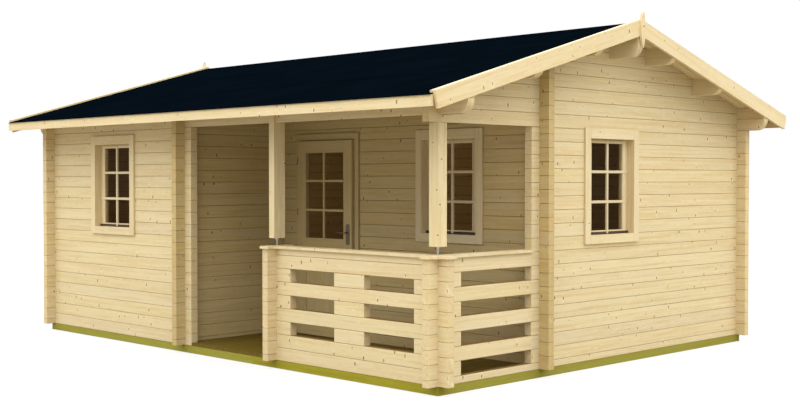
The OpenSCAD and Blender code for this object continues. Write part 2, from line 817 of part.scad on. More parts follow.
// Jambs, head and threshold; the leaf lies in front of them
module door_frame() color(wood_shade) difference() {
    translate([door_hole_l, y_back, sill_h])
        cube([door_hole_r - door_hole_l, log_t + frame_out, z_door + jamb_t - sill_h]);
    translate([x_door - door_w / 2, y_back - cut, sill_h + threshold_h])
        cube([door_w, log_t + frame_out + 2 * cut, z_door - sill_h - threshold_h]);
}

// The casing leaves a running gap round the leaf
casing_l = leaf_l - door_gap;
casing_r = leaf_r + latch_gap;
casing_z = z_leaf + leaf_h + door_gap;

module door_casing() color(wood_shade) difference() {
    translate([casing_l - door_casing_w, y_back - casing_t, z_deck])
        cube([casing_r - casing_l + 2 * door_casing_w, casing_t,
              casing_z + door_casing_head - z_deck]);
    translate([casing_l, y_back - casing_t - cut, z_deck - cut])
        cube([casing_r - casing_l, casing_t + 2 * cut, casing_z - z_deck + cut]);
}

// Frame and panel leaf: glass over the lock rail, upright boards below it
z_glass = z_deck + glass_up;
glass_w = leaf_w - 2 * stile_w;

module door_leaf() color(wood_shade) difference() {
    union() {
        translate([leaf_l, y_leaf, z_leaf]) cube([leaf_w, leaf_t, leaf_h]);
        translate([leaf_l + stile_w, y_leaf - bar_out, z_glass])
            grid_bars(glass_w, glass_h, pane_cols, pane_rows, door_bar_w, bar_lap, bar_lap,
                      bar_out + cut);
    }
    // panes
    translate([leaf_l + stile_w, y_leaf - bar_out - cut, z_glass])
        grid_holes(glass_w, glass_h, pane_cols, pane_rows, door_bar_w, bar_out + bar_d + 2 * cut);
    translate([leaf_l + stile_w - rebate, y_leaf + bar_d, z_glass - rebate])
        cube([glass_w + 2 * rebate, leaf_t, glass_h + 2 * rebate]);
    // recessed panel faces and the joints of its boards
    for (y = [y_leaf - cut, y_leaf + leaf_t - panel_back])
        translate([leaf_l + stile_w, y, z_leaf + bottom_rail_h])
            cube([glass_w, panel_back + cut, panel_h]);
    for (x = [leaf_l + stile_w + panel_board_w:panel_board_w:leaf_r - stile_w - panel_board_w / 3],
         y = [y_leaf + panel_back, y_leaf + leaf_t - panel_back])
        translate([x, y, z_leaf + bottom_rail_h]) rotate([0, 0, 45])
            translate([-groove / 2, -groove / 2, 0]) cube([groove, groove, panel_h]);
    // bore for the lever's neck
    translate([x_lever, y_leaf - cut, z_lever]) rotate([-90, 0, 0])
        cylinder(r = neck_r + neck_room, h = leaf_t + 2 * cut);
}

glass_h = z_leaf + leaf_h - stile_w - z_glass;
panel_h = z_glass - lock_rail_h - z_leaf - bottom_rail_h;

module door_glass() color("#3a2c1c")
    translate([leaf_l + stile_w - rebate, y_leaf + bar_d, z_glass - rebate])
        cube([glass_w + 2 * rebate, glass_t, glass_h + 2 * rebate]);

// Handle plate with half-round ends
module plate_outline() {
    r = plate_w / 2;
    translate([-r, r]) square([plate_w, plate_h - plate_w]);
    for (z = [r, plate_h - r]) translate([0, z]) circle(r = r);
}

// Plates on both faces of the leaf
module door_plates() color(steel)
    for (y = [y_leaf - plate_t, y_leaf + leaf_t])
        difference() {
            translate([x_lever, y + plate_t, z_lever + plate_rise - plate_h]) rotate([90, 0, 0])
                linear_extrude(plate_t) plate_outline();
            translate([x_lever, y - cut, z_lever]) rotate([-90, 0, 0])
                cylinder(r = neck_r + running, h = plate_t + 2 * cut);
        }

// Bent bar of one lever, in its own frame: along Z to the elbow, then along -X to a round end
module lever_bar() {
    arm_z = plate_t + lever_out - lever_r;
    cylinder(r = lever_r, h = arm_z - elbow_r);
    translate([-elbow_r, 0, arm_z - elbow_r]) rotate([90, 0, 0]) rotate_extrude(angle = 90)
        translate([elbow_r, 0]) circle(r = lever_r);
    translate([-elbow_r, 0, arm_z]) rotate([0, -90, 0])
        cylinder(r = lever_r, h = lever_l - elbow_r - lever_r);
    translate([lever_r - lever_l, 0, arm_z]) sphere(r = lever_r);
}

// Collar that turns in a handle plate
module lever_collar() cylinder(r = neck_r, h = plate_t + collar_out);

module door_lever() color(steel) translate([x_lever, y_leaf, z_lever]) {
    rotate([-90, 0, 0]) cylinder(r = lever_r, h = leaf_t);
    rotate([90, 0, 0]) {
        lever_bar();
        lever_collar();
    }
    translate([0, leaf_t, 0]) mirror([0, 1, 0]) rotate([90, 0, 0]) {
        lever_bar();
        lever_collar();
    }
}

// Hinges: the lower half of the barrel and the pin stand on the frame, the upper half turns
half_barrel = barrel_l / 2;
pin_r = barrel_d / 4;
knuckle_gap = 0.5;

module door_hinges() color(steel) for (z = hinge_levels)
    translate([pin_x, pin_y, z - half_barrel]) {
        cylinder(d = barrel_d, h = half_barrel);
        cylinder(r = pin_r, h = barrel_l);
        translate([0, 0, half_barrel / 2]) rotate([-90, 0, 0])
            cylinder(d = stud_d, h = y_back - casing_t - pin_y);
    }

module door_hinge_leaves() color(steel) for (z = hinge_levels)
    translate([pin_x, pin_y, z + knuckle_gap]) difference() {
        union() {
            cylinder(d = barrel_d, h = half_barrel - knuckle_gap);
            translate([0, 0, half_barrel / 2]) rotate([0, 90, 0])
                cylinder(d = stud_d, h = leaf_l - pin_x);
        }
        translate([0, 0, -cut]) cylinder(r = pin_r + running, h = barrel_l);
    }

foundation_long_beams();
foundation_cross_beams();
foundation_terrace();
floor_joists();
terrace_deck();
cabin_floor();
front_wall();
rear_wall();
left_gable_wall();
right_gable_wall();
right_gable_top();
terrace_side_wall();
terrace_back_wall_left();
terrace_back_wall_right();
terrace_back_wall_top();
front_eave_beam();
rear_eave_beam();
ridge_purlin();
purlins();
front_rail();
rail_stub();
side_rail();
rail_cap();
entrance_post();
corner_post();
post_feet();
roof_boards_front();
roof_boards_rear();
roof_covering_front();
roof_covering_rear();
barge_boards();
barge_strips();
fascia_boards();
finials();
window_frames();
window_sashes();
window_glass();
door_frame();
door_casing();
door_hinges();
door_leaf();
door_glass();
door_hinge_leaves();
door_plates();
door_lever();
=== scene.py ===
# %% [markdown]
# # A log cabin with a corner terrace
# The construction comes in as a fixed frame: logs, beams, roof and joinery at their real size, in
# metres. This script gives every piece its finish, and makes the joinery, the roof boards, the
# felt and the small metal parts in finer detail than the frame holds them.

# %% Load the frame
import itertools
import math

import bmesh
import bpy
from mathutils import Matrix, Vector


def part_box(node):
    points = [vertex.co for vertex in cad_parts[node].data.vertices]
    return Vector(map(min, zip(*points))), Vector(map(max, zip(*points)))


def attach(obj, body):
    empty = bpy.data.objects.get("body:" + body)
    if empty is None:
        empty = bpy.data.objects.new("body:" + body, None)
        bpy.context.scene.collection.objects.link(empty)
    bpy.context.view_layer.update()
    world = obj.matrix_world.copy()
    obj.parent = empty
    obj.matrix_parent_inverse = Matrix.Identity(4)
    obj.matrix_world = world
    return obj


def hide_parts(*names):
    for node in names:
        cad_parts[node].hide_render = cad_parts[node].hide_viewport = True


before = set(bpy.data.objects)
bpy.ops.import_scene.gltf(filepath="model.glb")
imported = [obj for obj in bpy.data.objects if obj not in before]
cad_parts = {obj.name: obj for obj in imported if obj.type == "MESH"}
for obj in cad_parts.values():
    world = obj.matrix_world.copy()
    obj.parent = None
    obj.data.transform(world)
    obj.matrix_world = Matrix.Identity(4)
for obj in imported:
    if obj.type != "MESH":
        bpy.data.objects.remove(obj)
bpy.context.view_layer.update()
FRAME_FINISHES = len(bpy.data.materials)
scene = bpy.context.scene

# %% [markdown]
# ## Sizes taken from the frame
# A piece that is made here has to sit exactly where the frame carries it. Each place below is
# therefore read from the box of a frame node, and only the widths of boards are written down.

# %% Levels and faces of the cabin


def low(node, axis):
    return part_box(node)[0][axis]


def high(node, axis):
    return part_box(node)[1][axis]


X, Y, Z = 0, 1, 2
COURSE = 0.114
SILL_TOP = high("foundation_long_beams", Z)
LOG = 0.070
WALL_FRONT = low("foundation_long_beams", Y)
WALL_REAR = high("foundation_long_beams", Y)
WALL_LEFT = low("foundation_long_beams", X)
WALL_RIGHT = high("foundation_long_beams", X)
ROOF_PITCH = math.radians(16)
ROOF_SLOPE = math.tan(ROOF_PITCH)
print("walls:", round(WALL_RIGHT - WALL_LEFT, 3), "by", round(WALL_REAR - WALL_FRONT, 3), "m")

# %% [markdown]
# ## Camera
# The cabin is seen at eye height from its terrace corner. The camera is held nearly level, which
# keeps the upright edges parallel, and a long lens keeps the far ends from looking much smaller.

# %% Camera
EYE = (9.1207, -8.8498, 1.6408)
TILT, TURN = math.radians(88.852), math.radians(45.13)
LENS, FILM, SHIFT_UP = 54.542925, 36, 0.000625
CLIP_FAR = 200
camera = bpy.data.objects.new("camera", bpy.data.cameras.new("camera"))
scene.collection.objects.link(camera)
camera.location = EYE
camera.rotation_euler = (TILT, 0, TURN)
camera.data.sensor_width = FILM
camera.data.lens = LENS
camera.data.shift_y = SHIFT_UP
camera.data.clip_end = CLIP_FAR
scene.camera = camera
print("camera:", EYE, "with a lens of", round(LENS, 1), "mm")

# %% [markdown]
# ## Helpers for shader nodes
# Materials are built as node trees. Short helpers keep that readable: the first adds a node and
# fills its inputs, by value or by link, and the next ones add the Math and colour nodes that
# nearly every finish needs.

# %% Node helpers


def srgb(red, green, blue):
    """Linear colour of a colour that is given as it looks on a screen, from 0 to 255."""
    def linear(value):
        value /= 255
        return value / 12.92 if value <= 0.04045 else ((value + 0.055) / 1.055) ** 2.4
    return (linear(red), linear(green), linear(blue), 1.0)


def add(tree, kind, inputs=None, **settings):
    """A new node with its settings, and with each input filled by a value or a link."""
    made = tree.nodes.new(kind)
    for name, value in settings.items():
        setattr(made, name, value)
    for key, value in (inputs or {}).items():
        if isinstance(value, bpy.types.NodeSocket):
            tree.links.new(value, made.inputs[key])
        else:
            made.inputs[key].default_value = value
    return made


def maths(tree, operation, a, b=0.0, c=0.0):
    return add(tree, "ShaderNodeMath", {0: a, 1: b, 2: c}, operation=operation).outputs[0]


def times(tree, a, b):
    return maths(tree, "MULTIPLY", a, b)


def plus(tree, a, b):
    return maths(tree, "ADD", a, b)


def minus(tree, a, b):
    return maths(tree, "SUBTRACT", a, b)


def scaled(tree, value, factor, offset):
    """The value times a factor, and moved by an offset."""
    return maths(tree, "MULTIPLY_ADD", value, factor, offset)


def ramp(tree, value, start, end, low_value=0.0, high_value=1.0):
    """A smooth step from low_value at start to high_value at end."""
    inputs = {"Value": value, "From Min": start, "From Max": end,
              "To Min": low_value, "To Max": high_value}
    return add(tree, "ShaderNodeMapRange", inputs, interpolation_type="SMOOTHSTEP").outputs[0]


def blend_colour(tree, factor, a, b, mode="MIX"):
    return add(tree, "ShaderNodeMix", {0: factor, 6: a, 7: b},
               data_type="RGBA", blend_type=mode).outputs[2]


def new_group(name, inputs, outputs):
    """An empty shader group, and its input and output nodes."""
    tree = bpy.data.node_groups.new(name, "ShaderNodeTree")
    for title, kind in inputs:
        tree.interface.new_socket(title, in_out="INPUT", socket_type=kind)
    for title, kind in outputs:
        tree.interface.new_socket(title, in_out="OUTPUT", socket_type=kind)
    return tree, tree.nodes.new("NodeGroupInput").outputs, tree.nodes.new("NodeGroupOutput").inputs


FLOAT, COLOUR, VECTOR = "NodeSocketFloat", "NodeSocketColor", "NodeSocketVector"

# %% [markdown]
# ## Spruce
# Sawn spruce shows pale growth rings, soft streaks along the grain, and knots: small dark ones
# from dead branches, and paler ones from living branches, all with a warm rim. The rings are
# worked out as shells round the pith, so one pattern gives straight grain on a face and rings on
# an end. Near a knot the distance from its middle is shortened before the rings are drawn. That
# spreads the lines apart there, so that the grain flows round the knot.

# %% Spruce group: its inputs, outputs and sizes
spruce, given, result = new_group(
    "spruce",
    [("Grain", VECTOR), ("Board", FLOAT), ("End", FLOAT), ("Tone", COLOUR), ("Knots", FLOAT)],
    [("Color", COLOUR), ("Roughness", FLOAT), ("Height", FLOAT)])

KNOT_SPACING = 0.115
KNOT_TALL = 0.5
RING = 0.0042
PALE = (1.10, 1.16, 1.28, 1.0)
WARM = (0.90, 0.81, 0.64, 1.0)
LATE = (0.76, 0.62, 0.44, 1.0)
CUT = (0.97, 0.94, 0.90, 1.0)
DEAD_KNOT, LIVE_KNOT = (0.10, 0.042, 0.010, 1.0), (0.42, 0.22, 0.06, 1.0)

# %% Patterns along the grain


def centred(tree, value):
    """A value from 0 to 1, moved to lie round zero."""
    return minus(tree, value, 0.5)


def stretched(tree, vector, along, across):
    """Coordinates for a pattern that is drawn out along the grain."""
    return add(tree, "ShaderNodeVectorMath", {0: vector, 1: (along, across, across)},
               operation="MULTIPLY").outputs[0]


def noise(tree, vector, detail=2.0, roughness=0.5):
    made = add(tree, "ShaderNodeTexNoise",
               {"Vector": vector, "Scale": 1.0, "Detail": detail, "Roughness": roughness})
    return made.outputs[0]


# %% Spruce group: where each board is cut from the tree
chance = add(spruce, "ShaderNodeTexWhiteNoise", {"W": given["Board"]}, noise_dimensions="1D")
chances = add(spruce, "ShaderNodeSeparateColor", {0: chance.outputs["Color"]}).outputs
shift = add(spruce, "ShaderNodeVectorMath", {0: chance.outputs["Color"], 1: (9.0, 7.0, 0.0)},
            operation="MULTIPLY").outputs[0]
moved = add(spruce, "ShaderNodeVectorMath", {0: given["Grain"], 1: shift}, operation="ADD").outputs[0]
axes = add(spruce, "ShaderNodeSeparateXYZ", {0: moved}).outputs
girth = plus(spruce, axes["Y"], axes["Z"])
flat = add(spruce, "ShaderNodeCombineXYZ",
           {"X": axes["X"], "Y": times(spruce, girth, KNOT_TALL)}).outputs[0]

# %% Spruce group: knots
# Width and thickness are added, so that knots show on the narrow faces of a board too. A branch is
# cut at a slant, so its knot is taller across the board than along it. What a knot does to the
# wood round it fades out at the border of its cell, so that no cell shows an edge.
cell = {"Vector": flat, "Scale": 1 / KNOT_SPACING, "Randomness": 0.8}
knots = add(spruce, "ShaderNodeTexVoronoi", cell, voronoi_dimensions="2D")
borders = add(spruce, "ShaderNodeTexVoronoi", cell, voronoi_dimensions="2D", feature="DISTANCE_TO_EDGE")
knot_dice = add(spruce, "ShaderNodeSeparateColor", {0: knots.outputs["Color"]}).outputs
uneven = noise(spruce, stretched(spruce, moved, 55.0, 90.0))
distance = times(spruce, knots.outputs["Distance"], KNOT_SPACING)
size = times(spruce, ramp(spruce, knot_dice["Red"], 0.25, 1.0, 0.0010, 0.0078), given["Knots"])
share = plus(spruce, maths(spruce, "DIVIDE", distance, size),
             times(spruce, centred(spruce, uneven), 1.5))
core = minus(spruce, 1.0, ramp(spruce, share, 0.55, 1.05))
inner = ramp(spruce, borders.outputs["Distance"], 0.0, 0.12)
halo = times(spruce, inner, minus(spruce, 1.0, ramp(spruce, share, 0.9, 3.4)))

# %% Spruce group: growth rings
knot_at = add(spruce, "ShaderNodeSeparateXYZ", {0: knots.outputs["Position"]}).outputs["Y"]
off_knot = minus(spruce, girth, maths(spruce, "DIVIDE", knot_at, KNOT_TALL))
bend = times(spruce, times(spruce, off_knot, halo), -0.75)
wave = times(spruce, centred(spruce, noise(spruce, stretched(spruce, moved, 0.9, 7.0))), 0.055)
given_axes = add(spruce, "ShaderNodeSeparateXYZ", {0: given["Grain"]}).outputs
pith_side = times(spruce, centred(spruce, chances["Green"]), 0.10)
side = minus(spruce, plus(spruce, bend, plus(spruce, given_axes["Y"], wave)), pith_side)
depth = plus(spruce, given_axes["Z"], scaled(spruce, chances["Blue"], 0.07, 0.03))
radius = maths(spruce, "SQRT", plus(spruce, times(spruce, side, side), times(spruce, depth, depth)))
ring = maths(spruce, "FRACT", maths(spruce, "DIVIDE", radius, RING))
late = times(spruce, ramp(spruce, ring, 0.35, 0.9), minus(spruce, 1.0, ramp(spruce, ring, 0.93, 1.0)))

# %% Spruce group: colour, roughness and height
streaks = noise(spruce, stretched(spruce, moved, 1.6, 42.0), 4.0, 0.6)
clouds = noise(spruce, stretched(spruce, moved, 2.2, 9.0), 2.0)
blots = noise(spruce, stretched(spruce, moved, 14.0, 38.0), 1.0)
fibres = noise(spruce, stretched(spruce, moved, 14.0, 700.0), 1.0)

tint = add(spruce, "ShaderNodeHueSaturation", {
    "Color": given["Tone"],
    "Hue": scaled(spruce, chances["Red"], 0.006, 0.497),
    "Saturation": scaled(spruce, chances["Green"], 0.10, 0.95),
    "Value": plus(spruce, scaled(spruce, chances["Blue"], 0.045, 0.94),
                  times(spruce, clouds, 0.08))}).outputs[0]
warm, pale, dark_line = (blend_colour(spruce, 1.0, tint, shade, "MULTIPLY") for shade in (WARM, PALE, LATE))
wood = blend_colour(spruce, ramp(spruce, streaks, 0.44, 0.72, 0.0, 0.75), tint, warm)
wood = blend_colour(spruce, ramp(spruce, streaks, 0.20, 0.44, 0.30, 0.0), wood, pale)
line_strength = scaled(spruce, given["End"], 0.10, 0.22)
wood = blend_colour(spruce, times(spruce, late, line_strength), wood, dark_line)
wood = blend_colour(spruce, times(spruce, ramp(spruce, blots, 0.62, 0.76), 0.30), wood, pale)
wood = blend_colour(spruce, times(spruce, ramp(spruce, blots, 0.40, 0.28), 0.35), wood, warm)
pale_round = times(spruce, halo, ramp(spruce, blots, 0.38, 0.60, 0.10, 0.75))
wood = blend_colour(spruce, pale_round, wood, pale)
knot_colour = blend_colour(spruce, ramp(spruce, knot_dice["Green"], 0.45, 0.9), DEAD_KNOT, LIVE_KNOT)
has_knot = maths(spruce, "GREATER_THAN", knot_dice["Red"], 0.30)
on_side = times(spruce, has_knot, minus(spruce, 1.0, given["End"]))
knot_share = times(spruce, times(spruce, core, on_side),
                   ramp(spruce, knot_dice["Blue"], 0.0, 0.6, 0.45, 0.90))
rim = minus(spruce, 1.0, ramp(spruce, share, 0.8, 2.0))
rim_share = times(spruce, times(spruce, rim, on_side), 0.55)
wood = blend_colour(spruce, rim_share, wood, dark_line)
wood = blend_colour(spruce, knot_share, wood, knot_colour)
wood = blend_colour(spruce, given["End"], wood, blend_colour(spruce, 1.0, wood, CUT, "MULTIPLY"))
spruce.links.new(wood, result["Color"])
spruce.links.new(scaled(spruce, streaks, 0.16, 0.50), result["Roughness"])
rough_height = plus(spruce, times(spruce, fibres, 0.00012), times(spruce, late, 0.00010))
spruce.links.new(minus(spruce, rough_height, times(spruce, knot_share, 0.0003)), result["Height"])
print("spruce group:", len(spruce.nodes), "shader nodes")

# %% [markdown]
# ## Courses
# The frame holds each log wall as one body. This group tells a material which log a point lies
# in, so that every log gets its own grain and tone, and draws the thin dark line where two logs
# meet at the bottom of their groove.

# %% Courses group
courses, given, result = new_group(
    "courses", [("Height", FLOAT), ("First", FLOAT), ("Pitch", FLOAT)],
    [("Board", FLOAT), ("Line", FLOAT), ("Across", FLOAT)])
count = maths(courses, "DIVIDE", minus(courses, given["Height"], given["First"]), given["Pitch"])
board = maths(courses, "FLOOR", count)
inside = minus(courses, count, board)
off_middle = maths(courses, "ABSOLUTE", minus(courses, inside, 0.5))
to_edge = times(courses, minus(courses, 0.5, off_middle), given["Pitch"])
courses.links.new(board, result["Board"])
courses.links.new(ramp(courses, to_edge, 0.0004, 0.0024, 1.0, 0.0), result["Line"])
courses.links.new(times(courses, minus(courses, inside, 0.5), given["Pitch"]), result["Across"])
print("courses group:", len(courses.nodes), "shader nodes")

# %% [markdown]
# ## Wood finishes
# A wooden node reads its own Object coordinates. The function below turns them into grain
# coordinates: along the board, across its width, and through its thickness. Where one node holds
# several boards, `cells` names the axis that tells them apart, and each cell becomes a board. Every
# wall counts its logs from a number of its own, so that no two walls show the same pattern. The
# nodes that make up one wall share that number, so that a log runs on from one to the next.

# %% Tones of the wood
SPRUCE_TONE = srgb(235, 219, 177)
JOINERY_TONE = srgb(237, 221, 181)
# Painted shade: a darker, deeper copy of the spruce tone for the wood under the terrace roof, standing in
# for the shade there.
PAINTED_SHADE_TONE = srgb(213, 193, 142)
SASH_TONE = srgb(232, 219, 184)
TREATED_TONE = srgb(163, 158, 52)
# Painted shade: the deck's tone is the treated tone made darker and browner, for the deck under the terrace
# roof.
DECK_SHADE_TONE = srgb(116, 98, 24)
JOINT_SHADE = (0.36, 0.25, 0.15, 1.0)
BOUNCED = (0.80, 0.74, 0.60, 1.0)
DEEP_BOUNCED = (0.40, 0.33, 0.20, 1.0)

# %% Wood material


def empty_material(name):
    material = bpy.data.materials.new(name)
    material.use_nodes = True
    material.node_tree.nodes.clear()
    return material, material.node_tree


def finish_surface(tree, colour, roughness, height, bump=0.6, specular=0.3, passes=BOUNCED):
    """Shader and output. Light that a surface passes on to another is dimmed and warmed a little,
    so that deep corners stay dark."""
    passed_on = blend_colour(tree, 1.0, colour, passes, "MULTIPLY")
    path = add(tree, "ShaderNodeLightPath").outputs
    colour = blend_colour(tree, path["Is Diffuse Ray"], colour, passed_on)
    bumped = add(tree, "ShaderNodeBump", {"Height": height, "Strength": bump, "Distance": 1.0})
    shader = add(tree, "ShaderNodeBsdfPrincipled", {
        "Base Color": colour, "Roughness": roughness, "Normal": bumped.outputs[0],
        "Specular IOR Level": specular})
    add(tree, "ShaderNodeOutputMaterial", {"Surface": shader.outputs[0]})
    return shader


def spruce_surface(tree, grain, board, end, tone, knots, line=None, passes=BOUNCED):
    """The spruce group with a surface, and a dark line where line is 1."""
    inputs = {"Grain": grain, "Board": board, "End": end, "Tone": tone, "Knots": knots}
    made = add(tree, "ShaderNodeGroup", inputs, node_tree=spruce)
    colour = made.outputs["Color"]
    if line is not None:
        colour = blend_colour(tree, line, colour, blend_colour(tree, 1.0, colour, JOINT_SHADE, "MULTIPLY"))
    finish_surface(tree, colour, made.outputs["Roughness"], made.outputs["Height"], passes=passes)


def wood_material(name, along, seed, tone=JOINERY_TONE, knots=1.0, middle=0.0, cells=None, joints=False,
                  passes=BOUNCED):
    """Wood whose grain lies along X, Y, Z or up the SLOPE. cells is (axis, first, pitch)."""
    material, tree = empty_material(name)
    coordinates = add(tree, "ShaderNodeTexCoord").outputs
    place = add(tree, "ShaderNodeSeparateXYZ", {0: coordinates["Object"]}).outputs
    facing = add(tree, "ShaderNodeSeparateXYZ", {0: coordinates["Normal"]}).outputs
    board, line = seed, None
    if along == "SLOPE":
        run = maths(tree, "ABSOLUTE", place["Y"])
        lengthwise = scaled(tree, run, -math.cos(ROOF_PITCH),
                            times(tree, place["Z"], math.sin(ROOF_PITCH)))
        across = scaled(tree, run, math.sin(ROOF_PITCH), times(tree, place["Z"], math.cos(ROOF_PITCH)))
        through, end = place["X"], 0.0
        rear = maths(tree, "GREATER_THAN", place["Y"], 0.0)
        gable = maths(tree, "GREATER_THAN", place["X"], 0.0)
        board = scaled(tree, rear, 3.0, scaled(tree, gable, 7.0, seed))
    else:
        wide, thin = {"X": "ZY", "Y": "ZX", "Z": "XY"}[along]
        lengthwise, across = place[along], place[wide]
        through = minus(tree, place[thin], middle)
        end = ramp(tree, maths(tree, "ABSOLUTE", facing[along]), 0.6, 0.9)
    if cells:
        axis, first, pitch = cells
        row = add(tree, "ShaderNodeGroup", {"Height": place[axis], "First": first, "Pitch": pitch},
                  node_tree=courses)
        board = plus(tree, row.outputs["Board"], seed)
        if axis == "Z":
            across = row.outputs["Across"]
        if joints:
            line = row.outputs["Line"]
    grain = add(tree, "ShaderNodeCombineXYZ", {"X": lengthwise, "Y": across, "Z": through}).outputs[0]
    spruce_surface(tree, grain, board, end, tone, knots, line, passes)
    return material


# %% Log walls


def wear(node, material):
    """Gives a frame node its material."""
    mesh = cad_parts[node].data
    mesh.materials.clear()
    mesh.materials.append(material)


HALF_COURSE = SILL_TOP - COURSE / 2
ALONG_X = {"front_wall": 3.5, "rear_wall": 41.5, "terrace_back_wall_left": 87.5,
           "terrace_back_wall_right": 87.5, "terrace_back_wall_top": 87.5,
           "front_eave_beam": 3.5, "rear_eave_beam": 41.5, "front_rail": 143.5}
ALONG_Y = {"left_gable_wall": 211.5, "right_gable_wall": 263.5, "right_gable_top": 263.5,
           "terrace_side_wall": 307.5, "side_rail": 353.5, "rail_stub": 401.5}
# The walls under the terrace roof take the darker tone, which is painted shade.
SHADE_PAINTED_WALLS = ("terrace_back_wall_left", "terrace_back_wall_right", "terrace_back_wall_top",
             "terrace_side_wall")
for along, depth_axis, first, seeds in (("X", Y, SILL_TOP, ALONG_X), ("Y", X, HALF_COURSE, ALONG_Y)):
    for node, seed in seeds.items():
        centre = (low(node, depth_axis) + high(node, depth_axis)) / 2
        tone, passes = (PAINTED_SHADE_TONE, DEEP_BOUNCED) if node in SHADE_PAINTED_WALLS else (SPRUCE_TONE, BOUNCED)
        wear(node, wood_material("logs_" + node, along, seed, tone, 1.0, centre,
                                 ("Z", first, COURSE), joints=True, passes=passes))
print("log walls:", len(ALONG_X) + len(ALONG_Y))

# %% [markdown]
# Beams, posts and boards take the same finish with other directions. The foundation, its joists
# and the deck are pressure-treated, so their tone is a yellow green; the deck is darker and browner,
# which is painted shade for the deck under the terrace roof. A pitch of FAR splits a node in two, at
# FAR from the first cell's start.

# %% Beams, boards and treated timber
FAR = 50.0
FOUNDATION_JOINT = WALL_RIGHT - 2.257
PURLIN_GAP = 0.954
FLOOR_BOARD, JOIST_CELL = 0.096, 0.25
DECK_BOARD, DECK_PITCH = 0.095, 0.100
deck_left = low("terrace_deck", X)
wear("ridge_purlin", wood_material("ridge_purlin_wood", "X", 501.5, SPRUCE_TONE))
wear("purlins", wood_material("purlin_wood", "X", 511.5, SPRUCE_TONE,
                              cells=("Y", -2 * PURLIN_GAP, PURLIN_GAP)))
wear("entrance_post", wood_material("entrance_post_wood", "Z", 521.5, middle=WALL_FRONT))
wear("corner_post", wood_material("corner_post_wood", "Z", 523.5, middle=WALL_FRONT))
wear("finials", wood_material("finial_wood", "Z", 525.5, cells=("X", -FAR, FAR)))
wear("barge_boards", wood_material("barge_board_wood", "SLOPE", 527.5))
wear("barge_strips", wood_material("barge_strip_wood", "SLOPE", 541.5, knots=0.8))
wear("fascia_boards", wood_material("fascia_wood", "X", 557.5, cells=("Y", -FAR, FAR)))
wear("cabin_floor", wood_material("floor_wood", "Y", 571.5, SPRUCE_TONE, cells=("X", 0.0, FLOOR_BOARD),
                                  joints=True))
wear("foundation_long_beams", wood_material("treated_long_beams", "X", 601.5, TREATED_TONE, 0.6,
                                            cells=("X", FOUNDATION_JOINT - FAR, FAR)))
wear("foundation_cross_beams", wood_material("treated_cross_beams", "Y", 611.5, TREATED_TONE, 0.6,
                                             cells=("X", -FAR, FAR)))
wear("foundation_terrace", wood_material("treated_terrace_beams", "X", 621.5, TREATED_TONE, 0.6))
wear("floor_joists", wood_material("treated_joists", "X", 631.5, TREATED_TONE, 0.6,
                                   cells=("Y", -FAR, JOIST_CELL)))
# The deck takes the darker tone, which is painted shade.
wear("terrace_deck", wood_material("deck_wood", "Y", 641.5, DECK_SHADE_TONE, 0.8, passes=DEEP_BOUNCED,
                                   cells=("X", deck_left - (DECK_PITCH - DECK_BOARD) / 2, DECK_PITCH)))
print("wood finishes:", len(bpy.data.materials) - FRAME_FINISHES)

# %% [markdown]
# The cap of the terrace rail turns a corner. Its two lengths meet in a mitre there, so the grain
# turns with them: on one side of the mitre it lies along X, on the other along Y.

# %% Rail cap
material, tree = empty_material("rail_cap_wood")
coordinates = add(tree, "ShaderNodeTexCoord").outputs
place = add(tree, "ShaderNodeSeparateXYZ", {0: coordinates["Object"]}).outputs
corner_x, corner_y = WALL_RIGHT - LOG / 2, WALL_FRONT + LOG / 2
past_mitre = minus(tree, plus(tree, place["X"], place["Y"]), corner_x + corner_y)
turned = maths(tree, "GREATER_THAN", past_mitre, 0.0)
straight_grain = add(tree, "ShaderNodeCombineXYZ", {"X": place["X"], "Y": place["Y"], "Z": 0.0}).outputs[0]
turned_grain = add(tree, "ShaderNodeCombineXYZ", {"X": place["Y"], "Y": place["X"], "Z": 0.0}).outputs[0]
grain = add(tree, "ShaderNodeMix", {0: turned, 4: straight_grain, 5: turned_grain}, data_type="VECTOR")
mitre = maths(tree, "ABSOLUTE", past_mitre)
spruce_surface(tree, grain.outputs[1], plus(tree, turned, 661.5), 0.0, JOINERY_TONE, 0.8,
               ramp(tree, mitre, 0.0008, 0.002, 1.0, 0.0))
wear("rail_cap", material)

# %% [markdown]
# ## Roof covering, glass and metal
# Bitumen felt is nearly black, with a coarse mineral grit on it. The glass is slightly tinted, with
# a low reflection, because the dark room behind it is what shows. Lever and plates are satin
# steel, the hinges are oiled, and the rods under the posts are zinc-plated.

# %% Felt
felt_material, tree = empty_material("roof_felt")
coordinates = add(tree, "ShaderNodeTexCoord").outputs
grit = add(tree, "ShaderNodeTexVoronoi", {"Vector": coordinates["Object"], "Scale": 420.0})
cloud = add(tree, "ShaderNodeTexNoise", {"Vector": coordinates["Object"], "Scale": 2.2, "Detail": 4.0})
grit_dice = add(tree, "ShaderNodeSeparateColor", {0: grit.outputs["Color"]}).outputs
felt_dark = blend_colour(tree, ramp(tree, cloud.outputs[0], 0.3, 0.7), srgb(2, 6, 11), srgb(3, 9, 15))
felt_colour = blend_colour(tree, times(tree, grit_dice["Red"], 0.5), felt_dark, srgb(7, 13, 20))
grit_height = times(tree, grit.outputs["Distance"], -0.0006)
finish_surface(tree, felt_colour, 0.95, grit_height, 0.4, 0.0)

# %% Glass


def glass_material(name, colour):
    """Smooth glass with little reflection; light takes the colour at each face it passes."""
    material, tree = empty_material(name)
    glass = add(tree, "ShaderNodeBsdfPrincipled", {
        "Base Color": colour, "Roughness": 0.0, "IOR": 1.05, "Transmission Weight": 1.0})
    add(tree, "ShaderNodeOutputMaterial", {"Surface": glass.outputs[0]})
    return material


wear("window_glass", glass_material("window_pane", (0.86, 0.77, 0.62, 1.0)))
wear("door_glass", glass_material("door_pane", (0.97, 0.96, 0.92, 1.0)))


# %% Metals


